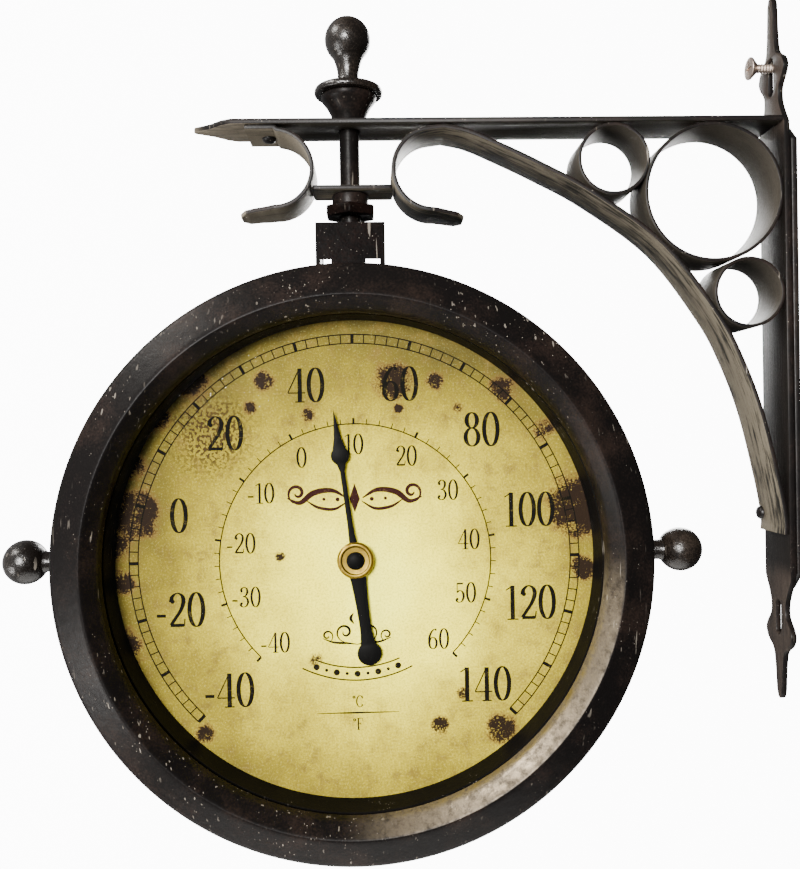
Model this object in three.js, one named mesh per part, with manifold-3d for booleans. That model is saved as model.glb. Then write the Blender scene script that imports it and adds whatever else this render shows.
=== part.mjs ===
// Double-faced station dial on a scrolled wall bracket: a thermometer in front, a clock behind.
// Millimetres, +Z up. X = 0 is the wall and the bracket reaches out along -X. Z = 0 is the height
// of the dial centres, and Y = 0 is the middle of the bracket and of the case. The thermometer
// looks along -Y and the clock along +Y. Everything except the wall pieces is laid out from the
// pin that the case hangs on, so inside the main group X = 0 is the axis of that pin.
import * as THREE from "three";
import { mergeVertices } from "three/addons/utils/BufferGeometryUtils.js";
import Module from "manifold-3d";

const wasm = await Module();
wasm.setup();

// ---- driving dimensions -------------------------------------------------------------------
const GAP = 0.3; // seating clearance between neighbouring pieces
const BEZEL_R = 127; // ten inch bezel, over its rim
const DRUM_R = 119; // outside of the case drum
const DRUM_HALF = 24; // half the drum's length
const SHEET = 1.5; // thickness of the case metal
const LIP_R = 105.9; // opening in the bezel
const LIP_DEPTH = 27.9; // bezel lip, from the middle of the case
const CREST_DEPTH = 37.4; // frontmost ridge of the bezel
const DIAL_DEPTH = 12.2; // printed face of each dial
const DIAL_R = 115.2;

const STRIP_W = 25.5; // inch-wide flat bar
const BAR_T = 2.4; // thickness of the top bar
const STRIP_T = 2; // thickness of the scrolled strips
const RING_T = 1.5; // wall of the filling rings
const REACH = 193; // pin axis to the face of the wall strap
const STRAP_T = 2.7;
const STRAP_W = 26;
const WALL_BAR_T = 2.7;
const WALL_BAR_W = 27;
const BAR_TOP = 193.6; // top face of the top bar
const BAR_BOTTOM = BAR_TOP - BAR_T;
const WALL = REACH + STRAP_T + GAP + WALL_BAR_T; // wall plane, from the pin axis

const PIN_R = 4.5;
const BORE_R = PIN_R + GAP;
const KNOB_R = 9.9;
const KNOB_REACH = 147.8; // centre of each side knob
const FINIAL_Z = 232.6; // centre of the top ball
const FINIAL_R = 10.3;

const POINTER_READS = 45; // resting reading, degrees Fahrenheit
const DEG_PER_F = 1.5; // dial degrees for one degree Fahrenheit
const TOP_READS = 50; // reading at twelve o'clock
const MINUTE_REST = 60; // clock hands at ten past ten, clockwise seen from behind
const HOUR_REST = 305;

const ROUND = 48; // facets round the case
const SMALL = 16; // facets round small turned pieces

// ---- materials ----------------------------------------------------------------------------
const paint = (color, roughness = 0.55, metalness = 0.3) =>
  new THREE.MeshStandardMaterial({ color, roughness, metalness });
const BLACK_PAINT = paint(0x231b19);
const BRONZE_PAINT = paint(0x3a3430, 0.45, 0.5);
const DIAL_PAINT = paint(0xd9c58a, 0.8, 0);
const STEEL = paint(0x8f9092, 0.35, 0.9);
const BRASS = paint(0xb08b46, 0.35, 0.9);
const PLASTIC = paint(0x1c1c1e, 0.6, 0);
const GLASS = new THREE.MeshStandardMaterial({
  color: 0xe8f0ee, roughness: 0.05, transparent: true, opacity: 0.25,
});

// ---- geometry helpers ---------------------------------------------------------------------
const points = (pairs) => pairs.map(([a, b]) => new THREE.Vector2(a, b));
const radians = THREE.MathUtils.degToRad;

function solidOf(geometry) {
  const bare = geometry.index ? geometry.toNonIndexed() : geometry.clone();
  bare.deleteAttribute("normal");
  bare.deleteAttribute("uv");
  const merged = mergeVertices(bare, 1e-3);
  return new wasm.Manifold(new wasm.Mesh({
    numProp: 3,
    vertProperties: merged.attributes.position.array,
    triVerts: new Uint32Array(merged.index.array),
  }));
}

function geometryOf(solid) {
  const mesh = solid.getMesh();
  return new THREE.BufferGeometry()
    .setAttribute("position", new THREE.BufferAttribute(mesh.vertProperties, 3))
    .setIndex(new THREE.BufferAttribute(mesh.triVerts, 1));
}

const cut = (body, ...tools) =>
  geometryOf(tools.reduce((left, tool) => left.subtract(solidOf(tool)), solidOf(body)));
const join = (first, ...rest) =>
  geometryOf(rest.reduce((sum, piece) => sum.add(solidOf(piece)), solidOf(first)));
const overlapOf = (a, b) => geometryOf(solidOf(a).intersect(solidOf(b)));

// Profiles are (radius, height) pairs that run up the outside of the piece.
const turnedAlongY = (profile, facets = ROUND) =>
  new THREE.LatheGeometry(points(profile), facets);
const turnedAlongZ = (profile, facets = SMALL) =>
  turnedAlongY(profile, facets).rotateX(Math.PI / 2);
const ringProfile = (inner, outer, low, high) =>
  [[inner, low], [outer, low], [outer, high], [inner, high], [inner, low]];
const rodProfile = (radius, low, high) => [[0, low], [radius, low], [radius, high], [0, high]];
const rodAlongZ = (radius, low, high, facets = SMALL) =>
  turnedAlongZ(rodProfile(radius, low, high), facets);
const rodAlongY = (radius, low, high, facets = SMALL) =>
  turnedAlongY(rodProfile(radius, low, high), facets);
const rodAlongX = (radius, low, high, facets = SMALL) =>
  rodAlongY(radius, low, high, facets).rotateZ(-Math.PI / 2);

function extruded(shape, depth) {
  return new THREE.ExtrudeGeometry(shape, { depth, bevelEnabled: false, curveSegments: 8 });
}
// A shape drawn in (X, Z), centred on the middle plane or lying between two depths.
const acrossY = (shape, low, high) =>
  extruded(shape, high - low).rotateX(Math.PI / 2).translate(0, high, 0);
// A shape drawn in (X, Y), standing on a height.
const upZ = (shape, low, high) => extruded(shape, high - low).translate(0, 0, low);
// A shape drawn in (Y, Z), between two distances from the pin axis.
const alongX = (shape, low, high) =>
  extruded(shape, high - low).applyMatrix4(new THREE.Matrix4().makeBasis(
    new THREE.Vector3(0, 1, 0), new THREE.Vector3(0, 0, 1), new THREE.Vector3(1, 0, 0),
  )).translate(low, 0, 0);

function block(x, y, z) {
  return new THREE.BoxGeometry(x[1] - x[0], y[1] - y[0], z[1] - z[0])
    .translate((x[0] + x[1]) / 2, (y[0] + y[1]) / 2, (z[0] + z[1]) / 2);
}

// Points on an arc in (X, Z), angles in degrees from +X towards +Z.
function arc(centre, radius, from, to, steps) {
  return Array.from({ length: steps + 1 }, (_, i) => {
    const angle = radians(from + ((to - from) * i) / steps);
    return [centre[0] + radius * Math.cos(angle), centre[1] + radius * Math.sin(angle)];
  });
}

// The edge outline of a bent strip: its middle line, thickened to both sides.
function stripOutline(line, thickness) {
  const path = points(line);
  const sideways = path.map((_, i) => {
    const before = path[Math.max(i - 1, 0)];
    const after = path[Math.min(i + 1, path.length - 1)];
    const along = after.clone().sub(before).normalize();
    return new THREE.Vector2(-along.y, along.x).multiplyScalar(thickness / 2);
  });
  const left = path.map((p, i) => p.clone().add(sideways[i]));
  const right = path.map((p, i) => p.clone().sub(sideways[i]));
  return new THREE.Shape([...left, ...right.reverse()]);
}

// A shape that is alike on both sides of its vertical middle line.
function mirroredShape(half) {
  const other = half.filter(([a]) => a !== 0).map(([a, b]) => [-a, b]).reverse();
  return new THREE.Shape(points([...half, ...other]));
}

const hexNut = (corner, bore, low, high) =>
  cut(rodAlongY(corner, low, high, 6), rodAlongY(bore, low - 1, high + 1));

function named(name, geometry, material) {
  const mesh = new THREE.Mesh(geometry, material);
  mesh.name = name;
  return mesh;
}

// ---- wall pieces --------------------------------------------------------------------------
const STRAP_SHOULDER_TOP = 191;
const STRAP_SHOULDER_BOTTOM = -14;
const SLOT_HALF_W = 2.6;

// Half outline of a spear end, from the shoulder to the tip: (half width, distance out).
function spearHalf(length) {
  const neckAndBulge = new THREE.SplineCurve(points([
    [STRAP_W / 2, 0], [9, 7], [7.2, 12], [7.6, 17], [11.6, 22], [12.9, 25.5],
    [10.8, 29.5], [5.6, 33.5], [3.8, 40], [2.6, length - 4],
  ])).getPoints(26).map((p) => [p.x, p.y]);
  return [...neckAndBulge, [1.4, length - 0.8], [0, length]];
}

const slotPath = (low, high) => new THREE.Path(points([
  ...arc([0, low + SLOT_HALF_W], SLOT_HALF_W, 180, 360, 6),
  ...arc([0, high - SLOT_HALF_W], SLOT_HALF_W, 0, 180, 6),
]));

function wallStrap() {
  const top = spearHalf(60.5).map(([w, s]) => [w, STRAP_SHOULDER_TOP + s]);
  const bottom = spearHalf(55.5).map(([w, s]) => [w, STRAP_SHOULDER_BOTTOM - s]).reverse();
  const shape = mirroredShape([...bottom, ...top]);
  shape.holes.push(slotPath(206, 223.6), slotPath(-40, -24));
  return named("wall_strap", alongX(shape, REACH, REACH + STRAP_T), BLACK_PAINT);
}

function wallBar() {
  const half = WALL_BAR_W / 2, clip = 8, top = 191, bottom = -18;
  const shape = mirroredShape([
    [0, bottom], [half - clip, bottom], [half, bottom + clip],
    [half, top - clip], [half - clip, top], [0, top],
  ]);
  return named("wall_bar", alongX(shape, WALL - WALL_BAR_T, WALL), BLACK_PAINT);
}

// Countersunk cross-head screw standing proud of the top slot.
function wallScrew() {
  const headR = 5, headT = 3.6, shankR = 2.1, length = 15.4;
  const body = turnedAlongY([
    [0, 0], [shankR * 0.4, 0], [shankR, 3], [shankR, length - headT],
    [headR, length - 0.8], [headR, length], [0, length],
  ], 14);
  const recess = [0, Math.PI / 2].map((turn) =>
    block([-3, 3], [length - 1.6, length + 1], [-0.55, 0.55]).rotateY(turn));
  const screw = cut(body, ...recess).rotateZ(Math.PI / 2);
  return named("wall_screw", screw.translate(WALL - GAP, 0, 219), STEEL);
}

// ---- bracket ------------------------------------------------------------------------------
const HOOK_ARC = { centre: [-33.3, 171.9], radius: 17 };
const CURL_ARC = { centre: [37.4, 171.2], radius: 17.9 };
const HOOK_RIVET_X = -36;
const FOOT_RIVET = { y: 9.4, z: 15 };

function topBar() {
  const half = STRIP_W / 2;
  const plan = new THREE.Shape(points([
    [-69.6, 0], [-69, -1.3], [-61.5, -5.6], [-56, -10.6], [-51.5, -half],
    [REACH - GAP, -half], [REACH - GAP, half],
    [-51.5, half], [-56, 10.6], [-61.5, 5.6], [-69, 1.3],
  ]));
  const bar = cut(
    upZ(plan, BAR_BOTTOM, BAR_TOP),
    rodAlongZ(BORE_R, BAR_BOTTOM - 1, BAR_TOP + 1),
    rodAlongZ(2.2, BAR_BOTTOM - 1, BAR_TOP + 1, 12).translate(HOOK_RIVET_X, 0, 0),
  );
  return named("top_bar", bar, BLACK_PAINT);
}

const UNDER_BAR = BAR_BOTTOM - GAP - STRIP_T / 2; // middle line of a strip against the bar

// Strip that runs under the bar, curls down round the hook and ends in a tapered tail.
function frontHook() {
  const { centre, radius } = HOOK_ARC;
  const line = [
    [-44, UNDER_BAR], [centre[0], UNDER_BAR],
    ...arc(centre, radius, 84, -90, 20), [-41, 154.2], [-48.4, 153],
  ];
  const plan = new THREE.Shape(points([
    [-46, 6], [-43, -12.7], [0, -12.7], [0, 12.7], [-40, 12.7],
  ]));
  const tailPlan = new THREE.Shape(points([
    [-49, 3], [-47.6, -7.5], [-45, -10], [-33, -12.7], [0, -12.7],
    [0, 12.7], [-33, 12.7], [-46, 9.6], [-48.5, 7],
  ]));
  const strip = acrossY(stripOutline(line, STRIP_T), -STRIP_W / 2, STRIP_W / 2);
  const envelope = join(upZ(plan, 172, 195), upZ(tailPlan, 145, 172.1));
  const rivetHole = rodAlongZ(2.2, 180, 195, 12).translate(HOOK_RIVET_X, 0, 0);
  return named("front_hook", cut(overlapOf(strip, envelope), rivetHole), BLACK_PAINT);
}

const FOOT_X = REACH - GAP - STRIP_T / 2; // middle line of the arch's foot

// One strip: a tail, the curl that faces the hook, then the long arch down to the wall strap.
function archBrace() {
  const { centre, radius } = CURL_ARC;
  const archLine = new THREE.SplineCurve(points([
    [42, UNDER_BAR], [53, 187.4], [66, 181.8], [85, 172.6], [108.1, 159.8], [139, 136.7],
    [162, 106.4], [172.7, 86], [181.6, 61.5], [188.8, 31], [FOOT_X, 14], [FOOT_X, 7],
  ])).getPoints(44).map((p) => [p.x, p.y]);
  const line = [
    [50, 151.2], [43, 152.4], ...arc(centre, radius, 270, 96, 20), ...archLine,
  ];
  const plan = new THREE.Shape(points([
    [51, 0], [49.8, -8], [47.5, -10.6], [36, -12.7], [-5, -12.7],
    [-5, 12.7], [36, 12.7], [48, 10], [50.6, 6],
  ]));
  const strip = acrossY(stripOutline(line, STRIP_T), -STRIP_W / 2, STRIP_W / 2);
  const wide = block([-5, REACH], [-12.75, 12.75], [170.1, 200]);
  const archSide = block([56, REACH], [-12.75, 12.75], [0, 171]);
  const envelope = join(wide, upZ(plan, 145, 170.2), archSide);
  const rivetHole = rodAlongX(2, 150, REACH + 4, 12).translate(0, FOOT_RIVET.y, FOOT_RIVET.z);
  return named("arch_brace", cut(overlapOf(strip, envelope), rivetHole), BLACK_PAINT);
}

function crossStrap() {
  const strap = block([-16.6, 19.2], [-10, 10], [163, 165]);
  return named("cross_strap", cut(strap, rodAlongZ(BORE_R, 160, 168)), BLACK_PAINT);
}

const RINGS = [
  { name: "ring_large", bore: 29.5, x: 161.7, z: 159.9 },
  { name: "ring_small_upper", bore: 14.5, x: 117.1, z: 174.9 },
  { name: "ring_small_lower", bore: 14.3, x: 176.9, z: 115.2 },
];

function fillingRing({ name, bore, x, z }) {
  const profile = ringProfile(bore, bore + RING_T, -STRIP_W / 2, STRIP_W / 2);
  return named(name, turnedAlongY(profile, 36).translate(x, 0, z), BLACK_PAINT);
}

// Rivet with a low domed head; its shank points down from the head at height 0.
function rivet(length) {
  return turnedAlongZ([
    [0, -length], [1.7, -length], [1.7, 0], [3.2, 0], [2.8, 1.1], [1.6, 1.8], [0, 2],
  ], 12);
}

function hookRivet() {
  const head = BAR_BOTTOM - GAP - STRIP_T - GAP;
  const body = rivet(BAR_TOP - head).rotateX(Math.PI).translate(HOOK_RIVET_X, 0, head);
  return named("hook_rivet", body, BLACK_PAINT);
}

function archFootRivet() {
  const head = FOOT_X - STRIP_T / 2 - 3 * GAP;
  const body = rivet(REACH - GAP - head).rotateY(-Math.PI / 2);
  return named("arch_foot_rivet", body.translate(head, FOOT_RIVET.y, FOOT_RIVET.z), BLACK_PAINT);
}

// ---- pin, finial and hanger ---------------------------------------------------------------
const FLANGE_Z = 207.4;
const BOX_TOP = 147.3;
const BOX_HALF = 15.1;

function hangerPin() {
  return named("hanger_pin", turnedAlongZ([
    [0, 134], [PIN_R, 134], [PIN_R, FLANGE_Z - GAP], [2.5, FLANGE_Z - GAP], [2.5, 217], [0, 217],
  ]), BLACK_PAINT);
}

function finial() {
  const neckR = 4.75, boreR = 2.8;
  const ball = arc([0, FINIAL_Z], FINIAL_R, -62, 90, 9);
  return named("finial", turnedAlongZ([
    [boreR, FLANGE_Z], [15.2, FLANGE_Z], [15.5, FLANGE_Z + 1.4], [14.8, FLANGE_Z + 3],
    [7, FLANGE_Z + 4.2], [neckR, FLANGE_Z + 6.5], ...ball.slice(0, -1), [0, FINIAL_Z + FINIAL_R],
    [0, 217.6], [boreR, 217.6], [boreR, FLANGE_Z],
  ], 20), BRONZE_PAINT);
}

function finialCone() {
  const low = BAR_TOP + GAP, high = FLANGE_Z - GAP;
  return named("finial_cone", turnedAlongZ([
    [BORE_R, low], [6.4, low], [7.2, low + 2], [12, high - 2.2], [12.5, high],
    [BORE_R, high], [BORE_R, low],
  ], 20), BLACK_PAINT);
}

function pinCollar() {
  return named("pin_collar", turnedAlongZ(ringProfile(BORE_R, 8.1, 157.6, 162.7)), BLACK_PAINT);
}

function pinNut() {
  const nut = hexNut(12.2, BORE_R, 152.6, 157.3).rotateX(Math.PI / 2).rotateZ(Math.PI / 6);
  return named("pin_nut", nut, BLACK_PAINT);
}

// Pressed cap that stands on the drum, with two low notches that run through it and rise to
// the clock side.
function hangerBox() {
  const inner = BOX_HALF - SHEET, notchTop = 134, notchRise = 10.8;
  const notches = [[-13.2, -8.4], [6.4, 13.2]].map((x) =>
    block(x, [-20, 20], [-25, 0]).rotateX(radians(notchRise)).translate(0, 0, notchTop));
  const box = cut(
    block([-BOX_HALF, BOX_HALF], [-BOX_HALF, BOX_HALF], [114, BOX_TOP]),
    block([-inner, inner], [-inner, inner], [110, BOX_TOP - SHEET]),
    rodAlongY(DRUM_R + GAP, -20, 20, ROUND),
    rodAlongZ(BORE_R, 140, 150),
    ...notches,
  );
  return named("hanger_box", box, BLACK_PAINT);
}

const hangerLockNut = () => named("hanger_lock_nut",
  hexNut(8, BORE_R, 138.5, 144.8).rotateX(Math.PI / 2), STEEL);

const HANGER_SCREW_X = 7;

function hangerBlock() {
  const holes = [-1, 1].map((side) =>
    rodAlongZ(2.2, 110, 135, 12).translate(side * HANGER_SCREW_X, 0, 0));
  const body = block([-13, 13], [-12, 12], [115, 127.5]);
  return named("hanger_block", cut(body, rodAlongY(DRUM_R + GAP, -20, 20, ROUND), ...holes), STEEL);
}

function hangerScrew(name, side) {
  const seat = DRUM_R - SHEET - 0.9;
  return named(name, turnedAlongZ([
    [0, seat - 2.4], [3.4, seat - 2.4], [3.8, seat - 1], [3.8, seat], [1.8, seat], [1.8, 126],
    [0, 126],
  ], 12).translate(side * HANGER_SCREW_X, 0, 0), STEEL);
}

// ---- case ---------------------------------------------------------------------------------
const BEZEL_SCREWS = [30, 150, 270]; // angles round the case, degrees from +X towards +Z
const BEZEL_SCREW_DEPTH = 18.5;
const radialHole = (radius, angle, depth) =>
  rodAlongX(radius, 100, 130, 12).rotateY(-radians(angle)).translate(0, depth, 0);

function drum() {
  const shell = turnedAlongY(ringProfile(DRUM_R - SHEET, DRUM_R, -DRUM_HALF, DRUM_HALF));
  const screwHoles = [-1, 1].flatMap((side) =>
    BEZEL_SCREWS.map((angle) => radialHole(1.8, angle, side * BEZEL_SCREW_DEPTH)));
  const hangerHoles = [-1, 1].map((side) =>
    rodAlongZ(2.2, 100, 130, 12).translate(side * HANGER_SCREW_X, 0, 0));
  const studHoles = [0, 180].map((angle) => radialHole(3.3, angle, 0));
  return named("drum", cut(shell, ...screwHoles, ...hangerHoles, ...studHoles), BLACK_PAINT);
}

// Spun bezel for the clock side: lip, inner cone, crest, sloping band, rolled rim and skirt.
function bezelGeometry() {
  const skirtR = DRUM_R - SHEET - GAP, seat = DRUM_HALF + GAP;
  const profile = [
    [skirtR - SHEET, 14], [skirtR, 14], [skirtR, seat], [120.6, seat], [BEZEL_R, 28.6],
    [BEZEL_R, 30.6], [113.2, CREST_DEPTH], [111, CREST_DEPTH], [LIP_R, LIP_DEPTH],
    [LIP_R + 1.8, LIP_DEPTH], [112.2, 35.8], [125, 29.9], [119.8, seat + SHEET],
    [skirtR - SHEET, seat + SHEET], [skirtR - SHEET, 14],
  ];
  return cut(turnedAlongY(profile),
    ...BEZEL_SCREWS.map((angle) => radialHole(1.7, angle, BEZEL_SCREW_DEPTH)));
}

// Inner wall between dial and glass, with a foot that clamps the dial's edge.
function revealGeometry() {
  const foot = DIAL_DEPTH + GAP, top = LIP_DEPTH - GAP - 2 - GAP;
  return turnedAlongY([
    [LIP_R - 1, foot], [DIAL_R, foot], [DIAL_R, foot + SHEET], [LIP_R + 0.6, foot + SHEET],
    [LIP_R + 1.5, top], [LIP_R, top], [LIP_R - 1, foot],
  ]);
}

const glassGeometry = () =>
  rodAlongY(DIAL_R, LIP_DEPTH - GAP - 2, LIP_DEPTH - GAP, ROUND);
const dialGeometry = (bore) =>
  turnedAlongY(ringProfile(bore, DIAL_R, DIAL_DEPTH - 1, DIAL_DEPTH));

// Face pieces are drawn for the clock side; half a turn about Z makes them the thermometer's.
const toFront = (geometry) => geometry.rotateZ(Math.PI);

const PILLAR_R = 100;

function dialPillar(index) {
  const angle = radians(90 + 120 * index);
  const pillar = rodAlongY(3, -(DIAL_DEPTH - 1 - GAP), DIAL_DEPTH - 1 - GAP, 12);
  pillar.translate(PILLAR_R * Math.cos(angle), 0, PILLAR_R * Math.sin(angle));
  return named(`dial_pillar_${index + 1}`, pillar, BRASS);
}

function bezelScrew(face, side, index) {
  const seat = DRUM_R + GAP;
  const screw = turnedAlongY([
    [0, seat - 6.4], [1.4, seat - 6.4], [1.4, seat], [2.9, seat], [2.5, seat + 1.2], [0, seat + 1.7],
  ], 12).rotateZ(-Math.PI / 2).rotateY(-radians(BEZEL_SCREWS[index]));
  screw.translate(0, side * BEZEL_SCREW_DEPTH, 0);
  return named(`${face}_bezel_screw_${index + 1}`, screw, STEEL);
}

// Ball knob on a necked stud that passes through the side of the drum.
function sideKnob(name, side) {
  const foot = DRUM_R + GAP, ball = arc([0, KNOB_REACH], KNOB_R, -63, 90, 8).slice(0, -1);
  const knob = turnedAlongY([
    [0, 108], [3, 108], [3, foot], [6.4, foot], [6.4, foot + 2], [4.45, foot + 4.5],
    ...ball, [0, KNOB_REACH + KNOB_R],
  ], 18).rotateZ(-side * Math.PI / 2);
  return named(name, knob, BRONZE_PAINT);
}

function knobNut(name, side) {
  const seat = DRUM_R - SHEET - 0.6;
  return named(name, hexNut(6, 3.3, seat - 4, seat).rotateZ(-side * Math.PI / 2), STEEL);
}

// ---- thermometer works --------------------------------------------------------------------
const COIL = { inner: 2.2, outer: 12.4, turns: 3, low: -10.3, high: -6.4, thickness: 0.6 };
const ARBOR_R = 1.2;

function coilBridge() {
  const backOfDial = -(DIAL_DEPTH - 1) + GAP, rear = -5;
  const plan = new THREE.Shape(points([
    [-21, backOfDial], [-18, backOfDial], [-18, rear - 1], [18, rear - 1], [18, backOfDial],
    [21, backOfDial], [21, rear], [-21, rear],
  ]));
  const strap = upZ(plan, -4, 4);
  const post = block([12.9, 18.5], [COIL.low, rear - 0.5], [-1.5, 1.5]);
  const bore = rodAlongY(ARBOR_R + GAP, -12, 0, 12);
  return named("coil_bridge", cut(join(strap, post), bore), BRASS);
}

function bimetalCoil() {
  const { inner, outer, turns, low, high, thickness } = COIL;
  const steps = turns * 16;
  const line = Array.from({ length: steps + 1 }, (_, i) => {
    const angle = (2 * Math.PI * turns * i) / steps;
    const radius = inner + ((outer - inner) * i) / steps;
    return [radius * Math.cos(angle), radius * Math.sin(angle)];
  });
  return named("bimetal_coil", acrossY(stripOutline(line, thickness), low, high), BRASS);
}

const POINTER_BACK = -14.6;

const pointerArbor = () => named("pointer_arbor",
  rodAlongY(ARBOR_R, -17.1, -5.2, 12), STEEL);

// Pointer drawn straight up: leaf tip, round swelling, thin shaft, hub and weighted tail.
function pointer() {
  const swell = { r: 46, half: 4 }, weight = { r: 41.3, half: 5.2 };
  const outline = mirroredShape([
    [0, -weight.r - weight.half],
    ...arc([0, -weight.r], weight.half, -60, 58, 6),
    [2.5, -weight.r + 8], [3, -9], [5, -5], [5, 5], [1.6, 10], [1, swell.r - 6.5],
    ...arc([0, swell.r], swell.half, -45, 35, 5),
    [1.3, swell.r + 10], [0, 66.7],
  ]);
  const blade = acrossY(outline, POINTER_BACK - 0.8, POINTER_BACK);
  const bored = cut(blade, rodAlongY(ARBOR_R + GAP, -20, -10, 12));
  return named("pointer", bored, PLASTIC);
}

const pointerBoss = () => named("pointer_boss", turnedAlongY([
  [ARBOR_R + GAP, -17.3], [7.4, -17.3], [8, -16.8], [8, -15.7], [ARBOR_R + GAP, -15.7],
  [ARBOR_R + GAP, -17.3],
], 20), BRASS);

const pointerCap = () => named("pointer_cap", turnedAlongY([
  [0, -19.2], [2.2, -18.9], [3.6, -18.2], [3.9, -17.6], [0, -17.6],
], SMALL), PLASTIC);

// ---- clock works --------------------------------------------------------------------------
const BUSH_R = 3.9;
const MOVEMENT = { half: 28, low: -4.4, high: DIAL_DEPTH - 1 - GAP };
const BATTERY = { r: 6.9, half: 24.5, y: 2.6, z: -17 };
const SET_KNOB_Z = 20;

function movement() {
  const { half, low, high } = MOVEMENT, corner = 4;
  const face = new THREE.Shape(points([
    [-half, -half + corner], [-half + corner, -half], [half - corner, -half],
    [half, -half + corner], [half, half - corner], [half - corner, half],
    [-half + corner, half], [-half, half - corner],
  ]));
  const bush = rodAlongY(BUSH_R, high - 1, 14.6);
  const bore = rodAlongY(2.7, high - 4, 16);
  const bay = block(
    [-BATTERY.half - 1, BATTERY.half + 1], [low - 1, BATTERY.y + BATTERY.r + GAP],
    [BATTERY.z - BATTERY.r - 0.6, BATTERY.z + BATTERY.r + 0.6],
  );
  return named("movement", cut(join(acrossY(face, low, high), bush), bore, bay), PLASTIC);
}

const movementNut = () => named("movement_nut",
  hexNut(7, BUSH_R + GAP, DIAL_DEPTH + GAP, 14.4), BRASS);

function battery() {
  const { r, half, y, z } = BATTERY;
  const cell = turnedAlongY([
    [0, -half], [r, -half], [r, half - 1], [2.7, half - 1], [2.7, half], [0, half],
  ], SMALL).rotateZ(-Math.PI / 2);
  return named("battery", cell.translate(0, y, z), STEEL);
}

const setKnob = () => named("set_knob", turnedAlongY([
  [0, -7.6], [4.6, -7.6], [5, -7.1], [5, -4.8], [0, -4.8],
], 16).translate(0, 0, SET_KNOB_Z), PLASTIC);

// Spade hand drawn straight up, with a bored eye.
function spadeHand(name, { length, spade, eye, bore, low }) {
  const outline = mirroredShape([
    [0, -eye * 3.2], [2.2, -eye * 3], [1.5, -eye * 1.2], ...arc([0, 0], eye, -60, 60, 6),
    [1.2, eye * 1.4], [1.1, length - spade * 4.2], [spade, length - spade * 2.6],
    [spade * 0.45, length - spade * 1.1], [0, length],
  ]);
  const blade = acrossY(outline, low, low + 0.8);
  return named(name, cut(blade, rodAlongY(bore, low - 2, low + 3, 12)), PLASTIC);
}

const hourPipe = () => named("hour_pipe",
  turnedAlongY(ringProfile(1.9, 2.4, 11.4, 16.2), 16), BRASS);
const hourHand = () => spadeHand("hour_hand",
  { length: 56, spade: 7, eye: 5, bore: 2.7, low: 15.1 });
const minuteArbor = () => named("minute_arbor", rodAlongY(1.5, 8.6, 18.2, 12), BRASS);
const minuteHand = () => spadeHand("minute_hand",
  { length: 82, spade: 5, eye: 4.2, bore: 1.8, low: 16.6 });
const minuteCap = () => named("minute_cap", turnedAlongY([
  [1.8, 17.7], [3.1, 17.7], [3.1, 18.6], [1.4, 19.9], [0, 20], [0, 18.5], [1.8, 18.5], [1.8, 17.7],
], 16), BRASS);

// ---- assembly -----------------------------------------------------------------------------
const bracket = new THREE.Group();
bracket.add(
  wallBar(), wallStrap(), wallScrew(), topBar(), frontHook(), archBrace(), crossStrap(),
  ...RINGS.map(fillingRing), hookRivet(), archFootRivet(),
);

const hanger = new THREE.Group();
hanger.add(
  hangerPin(), finial(), finialCone(), pinCollar(), pinNut(), hangerBox(), hangerLockNut(),
  hangerBlock(), hangerScrew("hanger_screw_left", -1), hangerScrew("hanger_screw_right", 1),
);

const shell = new THREE.Group();
shell.add(
  drum(),
  named("rear_bezel", bezelGeometry(), BLACK_PAINT),
  named("front_bezel", toFront(bezelGeometry()), BLACK_PAINT),
  named("rear_glass", glassGeometry(), GLASS),
  named("front_glass", toFront(glassGeometry()), GLASS),
  named("rear_reveal", revealGeometry(), BLACK_PAINT),
  named("front_reveal", toFront(revealGeometry()), BLACK_PAINT),
  named("clock_dial", dialGeometry(BUSH_R + GAP), DIAL_PAINT),
  named("thermometer_dial", toFront(dialGeometry(2.6)), DIAL_PAINT),
  ...[0, 1, 2].map(dialPillar),
  ...[0, 1, 2].map((i) => bezelScrew("front", -1, i)),
  ...[0, 1, 2].map((i) => bezelScrew("rear", 1, i)),
  sideKnob("knob_left", -1), sideKnob("knob_right", 1),
  knobNut("knob_nut_left", -1), knobNut("knob_nut_right", 1),
);

const works = new THREE.Group();
works.add(coilBridge(), bimetalCoil(), movement(), movementNut(), battery(), setKnob());

const pointerGroup = new THREE.Group();
pointerGroup.add(pointerArbor(), pointer(), pointerBoss(), pointerCap());
pointerGroup.rotation.y = radians((POINTER_READS - TOP_READS) * DEG_PER_F);

const hourGroup = new THREE.Group();
hourGroup.add(hourPipe(), hourHand());
hourGroup.rotation.y = -radians(HOUR_REST);

const minuteGroup = new THREE.Group();
minuteGroup.add(minuteArbor(), minuteHand(), minuteCap());
minuteGroup.rotation.y = -radians(MINUTE_REST);

const object = new THREE.Group();
object.add(bracket, hanger, shell, works, pointerGroup, hourGroup, minuteGroup);
object.position.x = -WALL;

export default object;
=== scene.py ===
"""Looks of the bracket dial thermometer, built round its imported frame.

Sizes are in millimetres inside the classes, and the mesh builder turns them into metres. The
front of the object is its thermometer side, which looks along -Y.
"""

import logging
import math
from collections.abc import Callable, Iterable, Sequence
from dataclasses import dataclass, field
from enum import Enum

import bmesh
import bpy
from mathutils import Matrix, Vector


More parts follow.
